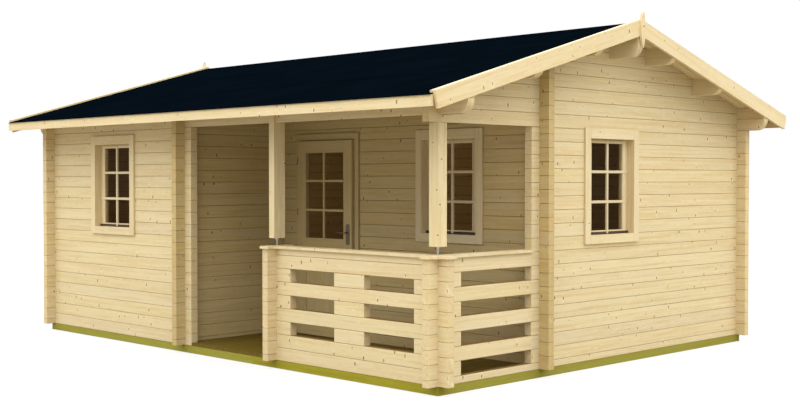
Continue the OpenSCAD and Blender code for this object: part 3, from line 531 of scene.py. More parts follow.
def metal_material(name, colour, roughness, brushed):
    """Metal with fine brush lines; brushed stretches them along X, Y and Z."""
    material, tree = empty_material(name)
    coordinates = add(tree, "ShaderNodeTexCoord").outputs
    drawn_out = add(tree, "ShaderNodeVectorMath", {0: coordinates["Object"], 1: brushed},
                    operation="MULTIPLY")
    lines = add(tree, "ShaderNodeTexNoise", {"Vector": drawn_out.outputs[0], "Scale": 1.0, "Detail": 3.0})
    tone = blend_colour(tree, ramp(tree, lines.outputs[0], 0.3, 0.7), colour,
                        tuple(0.8 * value for value in colour[:3]) + (1.0,))
    rough = scaled(tree, lines.outputs[0], 0.2, roughness - 0.1)
    shader = finish_surface(tree, tone, rough, times(tree, lines.outputs[0], 0.0001))
    shader.inputs["Metallic"].default_value = 1.0
    return material


steel_material = metal_material("satin_steel", (0.31, 0.285, 0.235, 1.0), 0.35, (90.0, 900.0, 900.0))
hinge_material = metal_material("oiled_steel", (0.16, 0.15, 0.14, 1.0), 0.45, (300.0, 300.0, 90.0))
zinc_material = metal_material("zinc_plate", (0.60, 0.62, 0.64, 1.0), 0.42, (300.0, 300.0, 300.0))
for node in ("door_plates", "door_lever"):
    wear(node, steel_material)
for node in ("door_hinges", "door_hinge_leaves"):
    wear(node, hinge_material)
wear("post_feet", zinc_material)

# %% Weather bar paint, dark as painted shade
bar_shade_paint, tree = empty_material("brown_paint_shade")
specks = add(tree, "ShaderNodeTexNoise", {"Vector": add(tree, "ShaderNodeTexCoord").outputs["Object"],
                                          "Scale": 260.0, "Detail": 2.0}).outputs[0]
# The dark brown stands in for the shade in the recess under the sash: painted shade.
bar_shade_colour = blend_colour(tree, specks, srgb(66, 50, 38), srgb(80, 62, 48))
finish_surface(tree, bar_shade_colour, 0.45, times(tree, specks, 0.00005))

# %% [markdown]
# ## Joinery finish
# Windows and door are made of many short boards that lie in all directions. Each board that is
# made below carries its own grain coordinates in an attribute, with its number and a mark on its
# ends, so one material serves them all.

# %% Joinery material


def attribute_wood(name, tone, knots, passes=BOUNCED):
    """Spruce that reads each board's own grain, number and end mark."""
    material, tree = empty_material(name)
    grain = add(tree, "ShaderNodeAttribute", attribute_name="grain").outputs["Vector"]
    board = add(tree, "ShaderNodeAttribute", attribute_name="board").outputs["Fac"]
    end = add(tree, "ShaderNodeAttribute", attribute_name="end").outputs["Fac"]
    spruce_surface(tree, grain, board, end, tone, knots, passes=passes)
    return material


joinery_material = attribute_wood("joinery_wood", JOINERY_TONE, 0.6)
sash_material = attribute_wood("sash_wood", SASH_TONE, 0.3)
# The door, its casing and its jambs lie under the terrace roof and take the darker tone of painted shade.
door_material = attribute_wood("door_wood", PAINTED_SHADE_TONE, 0.6, DEEP_BOUNCED)
roof_board_material = attribute_wood("roof_board_wood", SPRUCE_TONE, 1.0, DEEP_BOUNCED)
print("finishes in all:", len(bpy.data.materials) - FRAME_FINISHES)

# %% [markdown]
# ## Boards
# A planed board is a block whose edges are eased, or they would splinter. One function makes such
# a block from two opposite corners, and a second joins a list of boards into one mesh. It also
# stores the attributes that the material reads. A board is written as low corner, high corner
# and the axis of its grain, in the frame of the window or door that it belongs to.

# %% Boards
EASED = 0.002


def eased_block(corner, opposite, chamfer):
    """A block between two corners, with chamfered edges, as a bmesh."""
    block = bmesh.new()
    bmesh.ops.create_cube(block, size=1.0)
    for vertex in block.verts:
        vertex.co = [(a + b) / 2 + (b - a) * share for a, b, share in zip(corner, opposite, vertex.co)]
    bmesh.ops.bevel(block, geom=block.edges[:], offset=chamfer, segments=1, affect="EDGES")
    return block


def boards_mesh(name, boards, places, chamfer, first):
    """One mesh of eased boards, repeated at each place. Board numbers start at first."""
    points, faces, grain, numbers, ends = [], [], [], [], []
    for place in places:
        for corner, opposite, along in boards:
            block = eased_block(corner, opposite, chamfer)
            start = len(points)
            length = "XYZ".index(along)
            wide, thin = sorted((axis for axis in range(3) if axis != length),
                                key=lambda axis: corner[axis] - opposite[axis])
            middle = [(a + b) / 2 for a, b in zip(corner, opposite)]
            for vertex in block.verts:
                points.append(place @ vertex.co)
                grain.extend((vertex.co[length], vertex.co[wide] - middle[wide],
                              vertex.co[thin] - middle[thin]))
                numbers.append(first)
            for face in block.faces:
                faces.append([start + vertex.index for vertex in face.verts])
                ends.append(1.0 if abs(face.normal[length]) > 0.9 else 0.0)
            block.free()
            first += 1
    mesh = bpy.data.meshes.new(name)
    mesh.from_pydata(points, [], faces)
    mesh.attributes.new("grain", "FLOAT_VECTOR", "POINT").data.foreach_set("vector", grain)
    mesh.attributes.new("board", "FLOAT", "POINT").data.foreach_set("value", numbers)
    mesh.attributes.new("end", "FLOAT", "FACE").data.foreach_set("value", ends)
    mesh.update()
    return mesh


# %% Pieces


def piece(name, mesh, material, body, slot, *nodes):
    """Adds a mesh to the scene as a piece that stands for frame nodes."""
    made = bpy.data.objects.new(name, mesh)
    scene.collection.objects.link(made)
    mesh.materials.clear()
    mesh.materials.append(material)
    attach(made, body)
    if nodes:
        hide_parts(*nodes)
    return made


def board_piece(name, boards, places, first, material, body, *nodes, chamfer=EASED):
    """A piece of joinery that is made of boards."""
    mesh = boards_mesh(name, boards, places, chamfer, first)
    return piece(name, mesh, material, body, "joinery", *nodes)


# %% Boards round an opening


def ring_boards(inner, outer, front, back):
    """Two upright boards round an opening, and two cross boards between them."""
    (left, bottom, right, top), (far_left, low_end, far_right, high_end) = inner, outer
    return [((far_left, front, low_end), (left, back, high_end), "Z"),
            ((right, front, low_end), (far_right, back, high_end), "Z"),
            ((left, front, low_end), (right, back, bottom), "X"),
            ((left, front, top), (right, back, high_end), "X")]


def glazing_bars(opening, lap, width, front, face, glass, columns=2, rows=3):
    """Bars of a glazed opening: strips on its face that lap over the frame, and their backs."""
    left, bottom, right, top = opening
    over_x, over_z = lap
    pane_w = (right - left - (columns - 1) * width) / columns
    pane_h = (top - bottom - (rows - 1) * width) / rows
    uprights = [left + column * (pane_w + width) - width for column in range(1, columns)]
    levels = [bottom + row * (pane_h + width) - width for row in range(1, rows)]
    bars = []
    for x in uprights:
        bars.append(((x, front, bottom - over_z), (x + width, face, top + over_z), "Z"))
        bars.append(((x, face, bottom), (x + width, glass, top), "Z"))
    starts = [left] + [x + width for x in uprights]
    stops = uprights + [right]
    for z, (start, stop) in itertools.product(levels, zip(starts, stops)):
        outer_start = start - over_x if start == left else start
        outer_stop = stop + over_x if stop == right else stop
        bars.append(((outer_start, front, z), (outer_stop, face, z + width), "X"))
        bars.append(((start, face, z), (stop, glass, z + width), "X"))
    return bars


# %% [markdown]
# Sheets and profiles have one outline along their whole length. The next function extrudes such
# outlines: each lies in Y and Z, runs along X from start to stop, and is then set in its place.

# %% Extruded outlines


def extruded(name, shapes):
    """One mesh of closed prisms. A shape is (outline, start, stop, place)."""
    solid = bmesh.new()
    for outline, start, stop, place in shapes:
        ends = [[solid.verts.new(place @ Vector((x, y, z))) for y, z in outline] for x in (start, stop)]
        made = [solid.faces.new(end) for end in ends]
        for index in range(len(outline)):
            after = (index + 1) % len(outline)
            made.append(solid.faces.new((ends[0][index], ends[0][after], ends[1][after], ends[1][index])))
        bmesh.ops.recalc_face_normals(solid, faces=made)
    mesh = bpy.data.meshes.new(name)
    solid.to_mesh(mesh)
    solid.free()
    return mesh


# %% [markdown]
# ## Windows
# Each window is a casing on the wall, a lining through the logs, a fixed frame deep inside it and
# a sash. The sash has one sheet of glass, and bars planted on its face divide it into six panes.
# A weather bar under the sash throws the rain clear of the sill; its dark brown is painted shade, the shade
# of the recess under the sash.
# The three windows are alike, so their boards are listed once, with X along the wall and Y
# inwards, and are set into the front, terrace and gable wall by a matrix each.

# %% Window sizes and places
WINDOW_W = 0.646
CASING_W, CASING_HEAD, CASING_T = 0.076, 0.090, 0.020
LINING_T = 0.018
FRAME_SIDE, FRAME_END, FRAME_BACK, FRAME_OUT = 0.042, 0.008, 0.058, 0.030
INNER_CASING_W, INNER_CASING_T = 0.060, 0.016
SASH_BACK, SASH_T, SASH_W, SASH_RAIL = 0.046, 0.038, 0.048, 0.028
BAR_W, BAR_OUT, BAR_D = 0.024, 0.008, 0.010
SASH_LIP, DRIP, BEAD_W, BEAD_OUT = 0.012, 0.022, 0.018, 0.004
WEATHER_OUT, WEATHER_SLOPE, WEATHER_ROOM = 0.004, 0.006, 0.0005
SASH_EASED = 0.0015
TERRACE_WINDOW = 1.009
WALL_BACK = low("terrace_back_wall_right", Y)

window_low = low("window_frames", Z) + CASING_W
window_top = high("window_frames", Z) - CASING_HEAD
window_places = [
    Matrix.Translation((low("window_frames", X) + CASING_W + WINDOW_W / 2, WALL_FRONT, 0)),
    Matrix.Translation((WALL_RIGHT, 0, 0)) @ Matrix.Rotation(math.pi / 2, 4, "Z"),
    Matrix.Translation((WALL_RIGHT - TERRACE_WINDOW, WALL_BACK, 0)),
]
print("windows:", len(window_places), "each", WINDOW_W, "by", round(window_top - window_low, 3), "m")

# %% Window boards


def grown(opening, sides, bottom, top):
    return (opening[0] - sides, opening[1] - bottom, opening[2] + sides, opening[3] + top)


hole = (-WINDOW_W / 2, window_low, WINDOW_W / 2, window_top)
sash_edge = grown(hole, -FRAME_SIDE, -FRAME_END, -FRAME_END)
pane = grown(sash_edge, -SASH_W, -SASH_RAIL, -SASH_RAIL)
lined = grown(hole, LINING_T, LINING_T, LINING_T)
surround = (ring_boards(hole, grown(hole, CASING_W, CASING_W, CASING_HEAD), -CASING_T, 0)
            + ring_boards(hole, lined, 0.0, FRAME_BACK)
            + ring_boards(sash_edge, lined, FRAME_BACK, LOG + FRAME_OUT)
            + ring_boards(lined, grown(hole, INNER_CASING_W, INNER_CASING_W, INNER_CASING_W),
                          LOG, LOG + INNER_CASING_T))
left, bottom, right, top = pane
sash = (ring_boards(pane, sash_edge, SASH_BACK, SASH_BACK + SASH_T)[:2]
        + [((left, SASH_BACK, bottom - SASH_LIP), (right, SASH_BACK + SASH_T, bottom), "X"),
           ((left, SASH_BACK + DRIP, sash_edge[1]), (right, SASH_BACK + SASH_T, bottom - SASH_LIP), "X"),
           ((left, SASH_BACK, top), (right, SASH_BACK + SASH_T, sash_edge[3]), "X")])
bead_face = SASH_BACK - BEAD_OUT
bars = glazing_bars(pane, (SASH_W, SASH_RAIL), BAR_W, SASH_BACK - BAR_OUT, SASH_BACK, SASH_BACK + BAR_D)
bars += [((left - BEAD_W, bead_face, bottom - SASH_LIP), (left, SASH_BACK, top + BEAD_W), "Z"),
         ((right, bead_face, bottom - SASH_LIP), (right + BEAD_W, SASH_BACK, top + BEAD_W), "Z"),
         ((left, bead_face, bottom - SASH_LIP), (right, SASH_BACK, bottom), "X"),
         ((left, bead_face, top), (right, SASH_BACK, top + BEAD_W), "X")]
board_piece("window_surrounds", surround, window_places, 700, joinery_material, "cabin", "window_frames")
board_piece("sash_frames", sash, window_places, 800, joinery_material, "cabin", "window_sashes",
            chamfer=SASH_EASED)
board_piece("planted_bars", bars, window_places, 850, sash_material, "cabin", chamfer=SASH_EASED)
print("boards in a window:", len(surround) + len(sash) + len(bars))

# %% Weather bars
bar_foot, bar_top = window_low + WEATHER_ROOM, bottom - SASH_LIP - WEATHER_ROOM
bar_front, bar_back = SASH_BACK - WEATHER_OUT, SASH_BACK + DRIP
weather_bar = [(bar_front, bar_foot), (bar_back, bar_foot), (bar_back, bar_top),
               (SASH_BACK, bar_top), (bar_front, bar_top - WEATHER_SLOPE)]
reach = WINDOW_W / 2 - WEATHER_ROOM
weather_bars = extruded("weather_bars", [(weather_bar, -reach, reach, place) for place in window_places])
# The weather bars are a drip profile whose dark paint is painted shade under the sash.
piece("weather_bars", weather_bars, bar_shade_paint, "cabin", "steel")
print("weather bars:", len(window_places), "each", round(2 * reach, 3), "m long")

# %% [markdown]
# ## Door
# The leaf is framed: two stiles, a top rail, a lock rail and a bottom rail. Glass with planted
# bars fills the upper part, and upright tongued boards with V joints fill the lower part. It
# lies in front of its frame and inside a casing. The leaf rides on the body that swings.

# %% Door sizes
JAMB, STILE, BOTTOM_RAIL, LOCK_RAIL = 0.038, 0.117, 0.150, 0.110
DOOR_BAR_W, DOOR_BAR_LAP, REBATE = 0.022, 0.014, 0.008
PANEL_BOARD, PANEL_BACK, PANEL_EASED = 0.086, 0.008, 0.003
THRESHOLD = 0.045
HINGE_GAP, LATCH_GAP = 0.005, 0.008
AT_ORIGIN = [Matrix.Identity(4)]

(leaf_left, leaf_front, leaf_low), (leaf_right, leaf_back, leaf_top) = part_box("door_leaf")
leaf_face = leaf_front + BAR_OUT
glass_low, glass_top = low("door_glass", Z) + REBATE, high("door_glass", Z) - REBATE
glass_left, glass_right = leaf_left + STILE, leaf_right - STILE
panel_low, panel_top = leaf_low + BOTTOM_RAIL, glass_low - LOCK_RAIL
print("door leaf:", round(leaf_right - leaf_left, 3), "by", round(leaf_top - leaf_low, 3), "m")

# %% Door leaf
leaf = [((leaf_left, leaf_face, leaf_low), (glass_left, leaf_back, leaf_top), "Z"),
        ((glass_right, leaf_face, leaf_low), (leaf_right, leaf_back, leaf_top), "Z")]
for bottom, top in ((leaf_low, panel_low), (panel_top, glass_low), (glass_top, leaf_top)):
    leaf.append(((glass_left, leaf_face, bottom), (glass_right, leaf_back, top), "X"))
leaf += glazing_bars((glass_left, glass_low, glass_right, glass_top), (DOOR_BAR_LAP, DOOR_BAR_LAP),
                     DOOR_BAR_W, leaf_face - BAR_OUT, leaf_face, leaf_face + BAR_D)
panel = []
board_left = glass_left
while board_left < glass_right - PANEL_BOARD / 3:
    board_right = board_left + PANEL_BOARD
    if board_right > glass_right - PANEL_BOARD / 3:
        board_right = glass_right
    panel.append(((board_left, leaf_face + PANEL_BACK, panel_low),
                  (board_right, leaf_back - PANEL_BACK, panel_top), "Z"))
    board_left = board_right
board_piece("framed_leaf", leaf, AT_ORIGIN, 900, door_material, "door", "door_leaf")
board_piece("leaf_panel_boards", panel, AT_ORIGIN, 930, door_material, "door", chamfer=PANEL_EASED)

# %% Door casing and jambs
casing_left, casing_right = leaf_left - HINGE_GAP, leaf_right + LATCH_GAP
casing_top = leaf_top + HINGE_GAP
(left, front, bottom), (right, back, top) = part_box("door_casing")
casing = [((left, front, bottom), (casing_left, back, casing_top), "Z"),
          ((casing_right, front, bottom), (right, back, casing_top), "Z"),
          ((left, front, casing_top), (right, back, top), "X")]
board_piece("door_casing_boards", casing, AT_ORIGIN, 960, door_material, "cabin", "door_casing")

(left, front, bottom), (right, back, top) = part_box("door_frame")
jambs = [((left, front, bottom), (left + JAMB, back, top - JAMB), "Z"),
         ((right - JAMB, front, bottom), (right, back, top - JAMB), "Z"),
         ((left, front, top - JAMB), (right, back, top), "X"),
         ((left + JAMB, front, bottom), (right - JAMB, back, bottom + THRESHOLD), "X")]
board_piece("door_jambs", jambs, AT_ORIGIN, 970, door_material, "cabin", "door_frame")
print("boards in the door:", len(leaf) + len(panel) + len(casing) + len(jambs))

# %% [markdown]
# ## Roof boards
# The roof is boarded from ridge to eave. Every board is the same strip with chamfered edges, so
# a Geometry Nodes tree sweeps one outline up the slope, numbers the copies and stands them side
# by side. Two neighbouring chamfers make the V joint that shows from below. The boards become a
# plain mesh at the end, because only plain meshes keep their place in a posed or exported model.

# %% Geometry Nodes helpers


def geometry_tree(name, inputs):
    """An empty geometry tree, and its input and output nodes."""
    tree = bpy.data.node_groups.new(name, "GeometryNodeTree")
    tree.interface.new_socket("Geometry", in_out="INPUT", socket_type="NodeSocketGeometry")
    for title, kind in inputs:
        tree.interface.new_socket(title, in_out="INPUT", socket_type="NodeSocket" + kind)
    tree.interface.new_socket("Geometry", in_out="OUTPUT", socket_type="NodeSocketGeometry")
    return tree, tree.nodes.new("NodeGroupInput").outputs, tree.nodes.new("NodeGroupOutput").inputs


def grow(name, tree, values, start=None):
    """The mesh that a geometry tree makes from a start mesh, with its modifier removed again."""
    holder = bpy.data.objects.new(name, start or bpy.data.meshes.new(name))
    scene.collection.objects.link(holder)
    modifier = holder.modifiers.new(name, "NODES")
    modifier.node_group = tree
    for item in tree.interface.items_tree:
        if item.in_out == "INPUT" and item.name in values:
            modifier[item.identifier] = values[item.name]
    bpy.context.view_layer.update()
    evaluated = holder.evaluated_get(bpy.context.evaluated_depsgraph_get())
    mesh = bpy.data.meshes.new_from_object(evaluated)
    mesh.name = name
    holder.modifiers.remove(modifier)
    bpy.data.objects.remove(holder)
    return mesh


# %% Roof board tree
board_row, given, result = geometry_tree("board_row", [
    ("Boards", "Int"), ("Pitch", "Float"), ("Joint", "Float"), ("Thickness", "Float"),
    ("Length", "Float"), ("Chamfer", "Float"), ("Wood", "Material")])
width = minus(board_row, given["Pitch"], given["Joint"])
outline = add(board_row, "GeometryNodeCurvePrimitiveQuadrilateral",
              {"Width": width, "Height": given["Thickness"]}, mode="RECTANGLE")
eased = add(board_row, "GeometryNodeFilletCurve",
            {"Curve": outline.outputs[0], "Radius": given["Chamfer"]})
run = add(board_row, "ShaderNodeCombineXYZ", {"Y": given["Length"]}).outputs[0]
path = add(board_row, "GeometryNodeCurvePrimitiveLine", {"End": run})
strip = add(board_row, "GeometryNodeCurveToMesh",
            {"Curve": path.outputs[0], "Profile Curve": eased.outputs[0], "Fill Caps": True})
place = add(board_row, "ShaderNodeSeparateXYZ",
            {0: add(board_row, "GeometryNodeInputPosition").outputs[0]}).outputs
grain = add(board_row, "ShaderNodeCombineXYZ", {"X": place["Y"], "Y": place["X"], "Z": place["Z"]})
marked = add(board_row, "GeometryNodeStoreNamedAttribute",
             {"Geometry": strip.outputs[0], "Name": "grain", "Value": grain.outputs[0]},
             data_type="FLOAT_VECTOR", domain="POINT")
step = add(board_row, "ShaderNodeCombineXYZ", {"X": given["Pitch"]}).outputs[0]
row = add(board_row, "GeometryNodeMeshLine", {"Count": given["Boards"], "Offset": step}, mode="OFFSET")
copies = add(board_row, "GeometryNodeInstanceOnPoints",
             {"Points": row.outputs[0], "Instance": marked.outputs[0]})
numbered = add(board_row, "GeometryNodeStoreNamedAttribute",
               {"Geometry": copies.outputs[0], "Name": "board",
                "Value": add(board_row, "GeometryNodeInputIndex").outputs[0]},
               data_type="FLOAT", domain="INSTANCE")
real = add(board_row, "GeometryNodeRealizeInstances", {"Geometry": numbered.outputs[0]})
dressed = add(board_row, "GeometryNodeSetMaterial",
              {"Geometry": real.outputs[0], "Material": given["Wood"]})
board_row.links.new(dressed.outputs[0], result["Geometry"])

# %% Roof boards
BOARD_T, BOARD_JOINT, BOARD_CHAMFER = 0.019, 0.0006, 0.0035
ROOF_BOARDS = 65
verge_left, verge_right = low("roof_boards_rear", X), high("roof_boards_rear", X)
board_pitch = (verge_right - verge_left) / ROOF_BOARDS
ridge_under = high("roof_boards_rear", Z) - BOARD_T / math.cos(ROOF_PITCH)
slope_run = (high("roof_boards_rear", Y) - BOARD_T * math.sin(ROOF_PITCH)) / math.cos(ROOF_PITCH)
RIDGE = Matrix.Translation(((verge_left + verge_right) / 2, 0, ridge_under))
REAR_SLOPE = RIDGE @ Matrix.Rotation(-ROOF_PITCH, 4, "X")
FRONT_SLOPE = RIDGE @ Matrix.Rotation(math.pi, 4, "Z") @ Matrix.Rotation(-ROOF_PITCH, 4, "X")
to_first = Matrix.Translation((-board_pitch * (ROOF_BOARDS - 1) / 2, 0, BOARD_T / 2))
for side, slope in (("rear", REAR_SLOPE), ("front", FRONT_SLOPE)):
    mesh = grow("roof_boarding_" + side, board_row, {
        "Boards": ROOF_BOARDS, "Pitch": board_pitch, "Joint": BOARD_JOINT, "Thickness": BOARD_T,
        "Length": slope_run, "Chamfer": BOARD_CHAMFER, "Wood": roof_board_material})
    mesh.transform(slope @ to_first)
    piece("roof_boarding_" + side, mesh, roof_board_material, "cabin", "roof_board",
          "roof_boards_" + side)
print("roof boards:", 2 * ROOF_BOARDS, "of", round(slope_run, 3), "m")

# %% [markdown]
# ## Roof felt
# The covering is laid in level sheets from the eaves up, and each sheet laps over the one below.
# A folded strip covers both slopes at the ridge. The sheets are extruded from their cross-section,
# in the frame of a slope: Y down the slope and Z out of it.

# %% Roof felt
FELT_T, FELT_SHEETS, LAP, RIDGE_STRIP, MITRE = 0.0022, 3, 0.10, 0.16, 0.002
ON_BOARDS = BOARD_T + 0.0003
COVERING_T = 0.005
drip_edge = high("roof_covering_rear", Y) - COVERING_T * math.sin(ROOF_PITCH)
felt_end = drip_edge / math.cos(ROOF_PITCH) - ON_BOARDS * ROOF_SLOPE
sheet_step = felt_end / FELT_SHEETS
sheets = []
for number in range(FELT_SHEETS):
    lower = felt_end - number * sheet_step
    upper = max(lower - sheet_step - LAP, MITRE)
    under = ON_BOARDS + (FELT_T if number else 0.0)
    sheets.append([(upper, ON_BOARDS), (lower, under), (lower, under + FELT_T),
                   (upper, ON_BOARDS + FELT_T)])
for side, slope in (("rear", REAR_SLOPE), ("front", FRONT_SLOPE)):
    mesh = extruded("felt_sheets_" + side, [(sheet, verge_left, verge_right, slope) for sheet in sheets])
    piece("felt_sheets_" + side, mesh, felt_material, "cabin", "roof_felt", "roof_covering_" + side)


def ridge_fold(height):
    """Edge and fold of a strip that lies this high over the boards' underside, in Y and Z."""
    edge_y = RIDGE_STRIP * math.cos(ROOF_PITCH) + height * math.sin(ROOF_PITCH)
    edge_z = height * math.cos(ROOF_PITCH) - RIDGE_STRIP * math.sin(ROOF_PITCH)
    return edge_y, edge_z, height / math.cos(ROOF_PITCH)


under_y, under_z, under_fold = ridge_fold(ON_BOARDS + FELT_T)
over_y, over_z, over_fold = ridge_fold(ON_BOARDS + 2 * FELT_T)
ridge_strip = [(under_y, under_z), (over_y, over_z), (0.0, over_fold),
               (-over_y, over_z), (-under_y, under_z), (0.0, under_fold)]
piece("ridge_strip", extruded("ridge_strip", [(ridge_strip, verge_left, verge_right, RIDGE)]),
      felt_material, "cabin", "roof_felt")
print("felt sheets:", 2 * FELT_SHEETS, "each", round(sheet_step + LAP, 3), "m wide")

# %% [markdown]
# ## Lock cylinder
# A profile cylinder passes through both handle plates under the lever. Its outline is a round
# head on a narrower tail, and its core stands a little proud. It rides on the door.

# %% Lock cylinder
HEAD_R, TAIL_R, TAIL_DROP, CORE_R = 0.0085, 0.005, 0.0195, 0.006
LOCK_OUT, CORE_OUT, SUNK, LOCK_UP = 0.0014, 0.0018, 0.001, 0.047
lock_x = (low("door_plates", X) + high("door_plates", X)) / 2
lock_z = low("door_plates", Z) + LOCK_UP
meets = math.asin(TAIL_R / HEAD_R)
head_turns = [-math.pi / 2 + meets + step * (2 * math.pi - 2 * meets) / 24 for step in range(25)]
tail_turns = [math.pi + step * math.pi / 8 for step in range(9)]
cylinder = ([(HEAD_R * math.cos(turn), HEAD_R * math.sin(turn)) for turn in head_turns]
            + [(TAIL_R * math.cos(turn), TAIL_R * math.sin(turn) - TAIL_DROP) for turn in tail_turns])
core = [(CORE_R * math.cos(turn), CORE_R * math.sin(turn)) for turn in
        (step * math.pi / 10 for step in range(20))]
outer_face, inner_face = low("door_plates", Y), high("door_plates", Y)
at_lock = Matrix.Translation((lock_x, 0, lock_z)) @ Matrix.Rotation(math.pi / 2, 4, "Z")
locks = [(cylinder, outer_face - LOCK_OUT, outer_face + SUNK, at_lock),
         (core, outer_face - CORE_OUT, outer_face, at_lock),
         (cylinder, inner_face - SUNK, inner_face + LOCK_OUT, at_lock),
         (core, inner_face, inner_face + CORE_OUT, at_lock)]
piece("lock_cylinder", extruded("lock_cylinder", locks), steel_material, "door", "steel")
print("lock cylinder:", round(lock_z - leaf_low, 3), "m over the foot of the leaf")

# %% [markdown]
# ## Screws
# Hundreds of screws hold the deck, the casings and the roof trim. A screw head is the same small
# disc each time, with a dimple for the driver, so a Geometry Nodes tree makes one head and places
# it on every point of a start mesh, turned to the direction that the point stores.

# %% Screw tree
screw_heads, given, result = geometry_tree("screw_heads", [
    ("Radius", "Float"), ("Depth", "Float"), ("Proud", "Float"), ("Metal", "Material")])
disc = add(screw_heads, "GeometryNodeMeshCylinder",
           {"Vertices": 10, "Side Segments": 1, "Fill Segments": 3, "Radius": given["Radius"],
            "Depth": given["Depth"]}, fill_type="TRIANGLE_FAN")
spot = add(screw_heads, "GeometryNodeInputPosition").outputs[0]
parts = add(screw_heads, "ShaderNodeSeparateXYZ", {0: spot}).outputs
squares = [times(screw_heads, parts[axis], parts[axis]) for axis in "XY"]
off_axis = maths(screw_heads, "SQRT", plus(screw_heads, *squares))
middle = maths(screw_heads, "LESS_THAN", off_axis, times(screw_heads, given["Radius"], 0.5))
dimple = times(screw_heads, middle, maths(screw_heads, "GREATER_THAN", parts["Z"], 0.0))
sunk = add(screw_heads, "ShaderNodeCombineXYZ",
           {"Z": times(screw_heads, given["Depth"], -0.5)}).outputs[0]
pressed = add(screw_heads, "GeometryNodeSetPosition",
              {"Geometry": disc.outputs[0], "Selection": dimple, "Offset": sunk})
top_up = minus(screw_heads, given["Proud"], times(screw_heads, given["Depth"], 0.5))
lift = add(screw_heads, "ShaderNodeCombineXYZ", {"Z": top_up}).outputs[0]
head = add(screw_heads, "GeometryNodeTransform", {"Geometry": pressed.outputs[0], "Translation": lift})
facing = add(screw_heads, "GeometryNodeInputNamedAttribute", {"Name": "facing"},
             data_type="FLOAT_VECTOR").outputs[0]
turned = add(screw_heads, "FunctionNodeAlignRotationToVector", {"Vector": facing}, axis="Z")
copies = add(screw_heads, "GeometryNodeInstanceOnPoints",
             {"Points": given["Geometry"], "Instance": head.outputs[0], "Rotation": turned.outputs[0]})
real = add(screw_heads, "GeometryNodeRealizeInstances", {"Geometry": copies.outputs[0]})
dressed = add(screw_heads, "GeometryNodeSetMaterial",
              {"Geometry": real.outputs[0], "Material": given["Metal"]})
screw_heads.links.new(dressed.outputs[0], result["Geometry"])

# %% Screw heads
HEAD_DEPTH, HEAD_PROUD = 0.0016, 0.0003


def screws(name, spots, radius, body):
    """A piece of screw heads. A spot is (place, outward direction)."""
    start = bpy.data.meshes.new(name)
    start.from_pydata([place for place, outward in spots], [], [])
    outwards = [value for place, outward in spots for value in outward]
    start.attributes.new("facing", "FLOAT_VECTOR", "POINT").data.foreach_set("vector", outwards)
    mesh = grow(name, screw_heads, {"Radius": radius, "Depth": HEAD_DEPTH, "Proud": HEAD_PROUD,
                                    "Metal": zinc_material}, start)
    return piece(name, mesh, zinc_material, body, "galvanised")


# %% Deck screws
UP, OUT_FRONT, OUT_REAR = (0, 0, 1), (0, -1, 0), (0, 1, 0)
SCREW_IN = 0.018
JOIST_LINES = (-1.77, -1.39)
BELOW_WINDOW, ABOVE_WINDOW = 0.02, 0.03
CASING_SCREWS = (0.05, 0.36, 0.68, 0.97)
BARGE_HALF, BARGE_SCREWS, BARGE_PAIR = 0.067, (0.14, PURLIN_GAP, 2 * PURLIN_GAP, 2.40), (-0.03, 0.03)
FASCIA_SCREWS, FASCIA_IN = 11, 0.15
HEAD_R_WOOD, HEAD_R_PLATE, PLATE_IN = 0.0040, 0.0034, 0.014
deck_top = high("terrace_deck", Z)
entrance = low("rail_cap", X)
spots = []
number = 0
while deck_left + number * DECK_PITCH + DECK_BOARD < high("terrace_deck", X):
    board_left = deck_left + number * DECK_PITCH
    supports = list(JOIST_LINES)
    if number and board_left + DECK_BOARD < entrance:
        supports.append(WALL_FRONT + LOG / 2)
    for x, y in itertools.product((board_left + SCREW_IN, board_left + DECK_BOARD - SCREW_IN), supports):
        spots.append(((x, y, deck_top), UP))
    number += 1
deck_screws = len(spots)

# %% Trim screws
for place in window_places:
    outward = (place.to_3x3() @ Vector(OUT_FRONT))[:]
    for x in (-WINDOW_W / 2 - CASING_W / 2, WINDOW_W / 2 + CASING_W / 2):
        for z in (window_low - BELOW_WINDOW, (window_low + window_top) / 2, window_top + ABOVE_WINDOW):
            spots.append(((place @ Vector((x, -CASING_T, z)))[:], outward))
(left, front, bottom), (right, back, top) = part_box("door_casing")
casing_lines = ((left + casing_left) / 2, (right + casing_right) / 2)
for x, share in itertools.product(casing_lines, CASING_SCREWS):
    spots.append(((x, front, bottom + share * (top - bottom)), OUT_FRONT))

barge_middle = high("barge_boards", Z) - BARGE_HALF
for x, away in ((low("barge_boards", X), -1), (high("barge_boards", X), 1)):
    for y, lift in itertools.product(BARGE_SCREWS, BARGE_PAIR):
        for side in (-1, 1):
            spots.append(((x, side * y, barge_middle - y * ROOF_SLOPE + lift), (away, 0, 0)))
fascia_middle = (low("fascia_boards", Z) + high("fascia_boards", Z)) / 2
for number in range(FASCIA_SCREWS):
    x = (verge_left + FASCIA_IN
         + number * (verge_right - verge_left - 2 * FASCIA_IN) / (FASCIA_SCREWS - 1))
    for y, outward in ((low("fascia_boards", Y), OUT_FRONT), (high("fascia_boards", Y), OUT_REAR)):
        spots.append(((x, y, fascia_middle), outward))
screws("screws", spots, HEAD_R_WOOD, "cabin")
print("screws:", len(spots), "of them in the deck:", deck_screws)

# %% Plate screws
plate_low, plate_top = low("door_plates", Z) + PLATE_IN, high("door_plates", Z) - PLATE_IN
plate_spots = [((lock_x, y, z), outward) for z in (plate_low, plate_top)
               for y, outward in ((outer_face, OUT_FRONT), (inner_face, OUT_REAR))]
screws("plate_screws", plate_spots, HEAD_R_PLATE, "door")
print("plate screws:", len(plate_spots))

# %% [markdown]
# ## Stage and light
# A plain pale floor and a white surround, with one broad soft sun high over the terrace corner.
# The surround counts as white only where the camera, a reflection or glass looks at it. As light
# it grows from a dim horizon to a bright top, like a sky over trees, so that the terrace stays
# darker than the open walls.

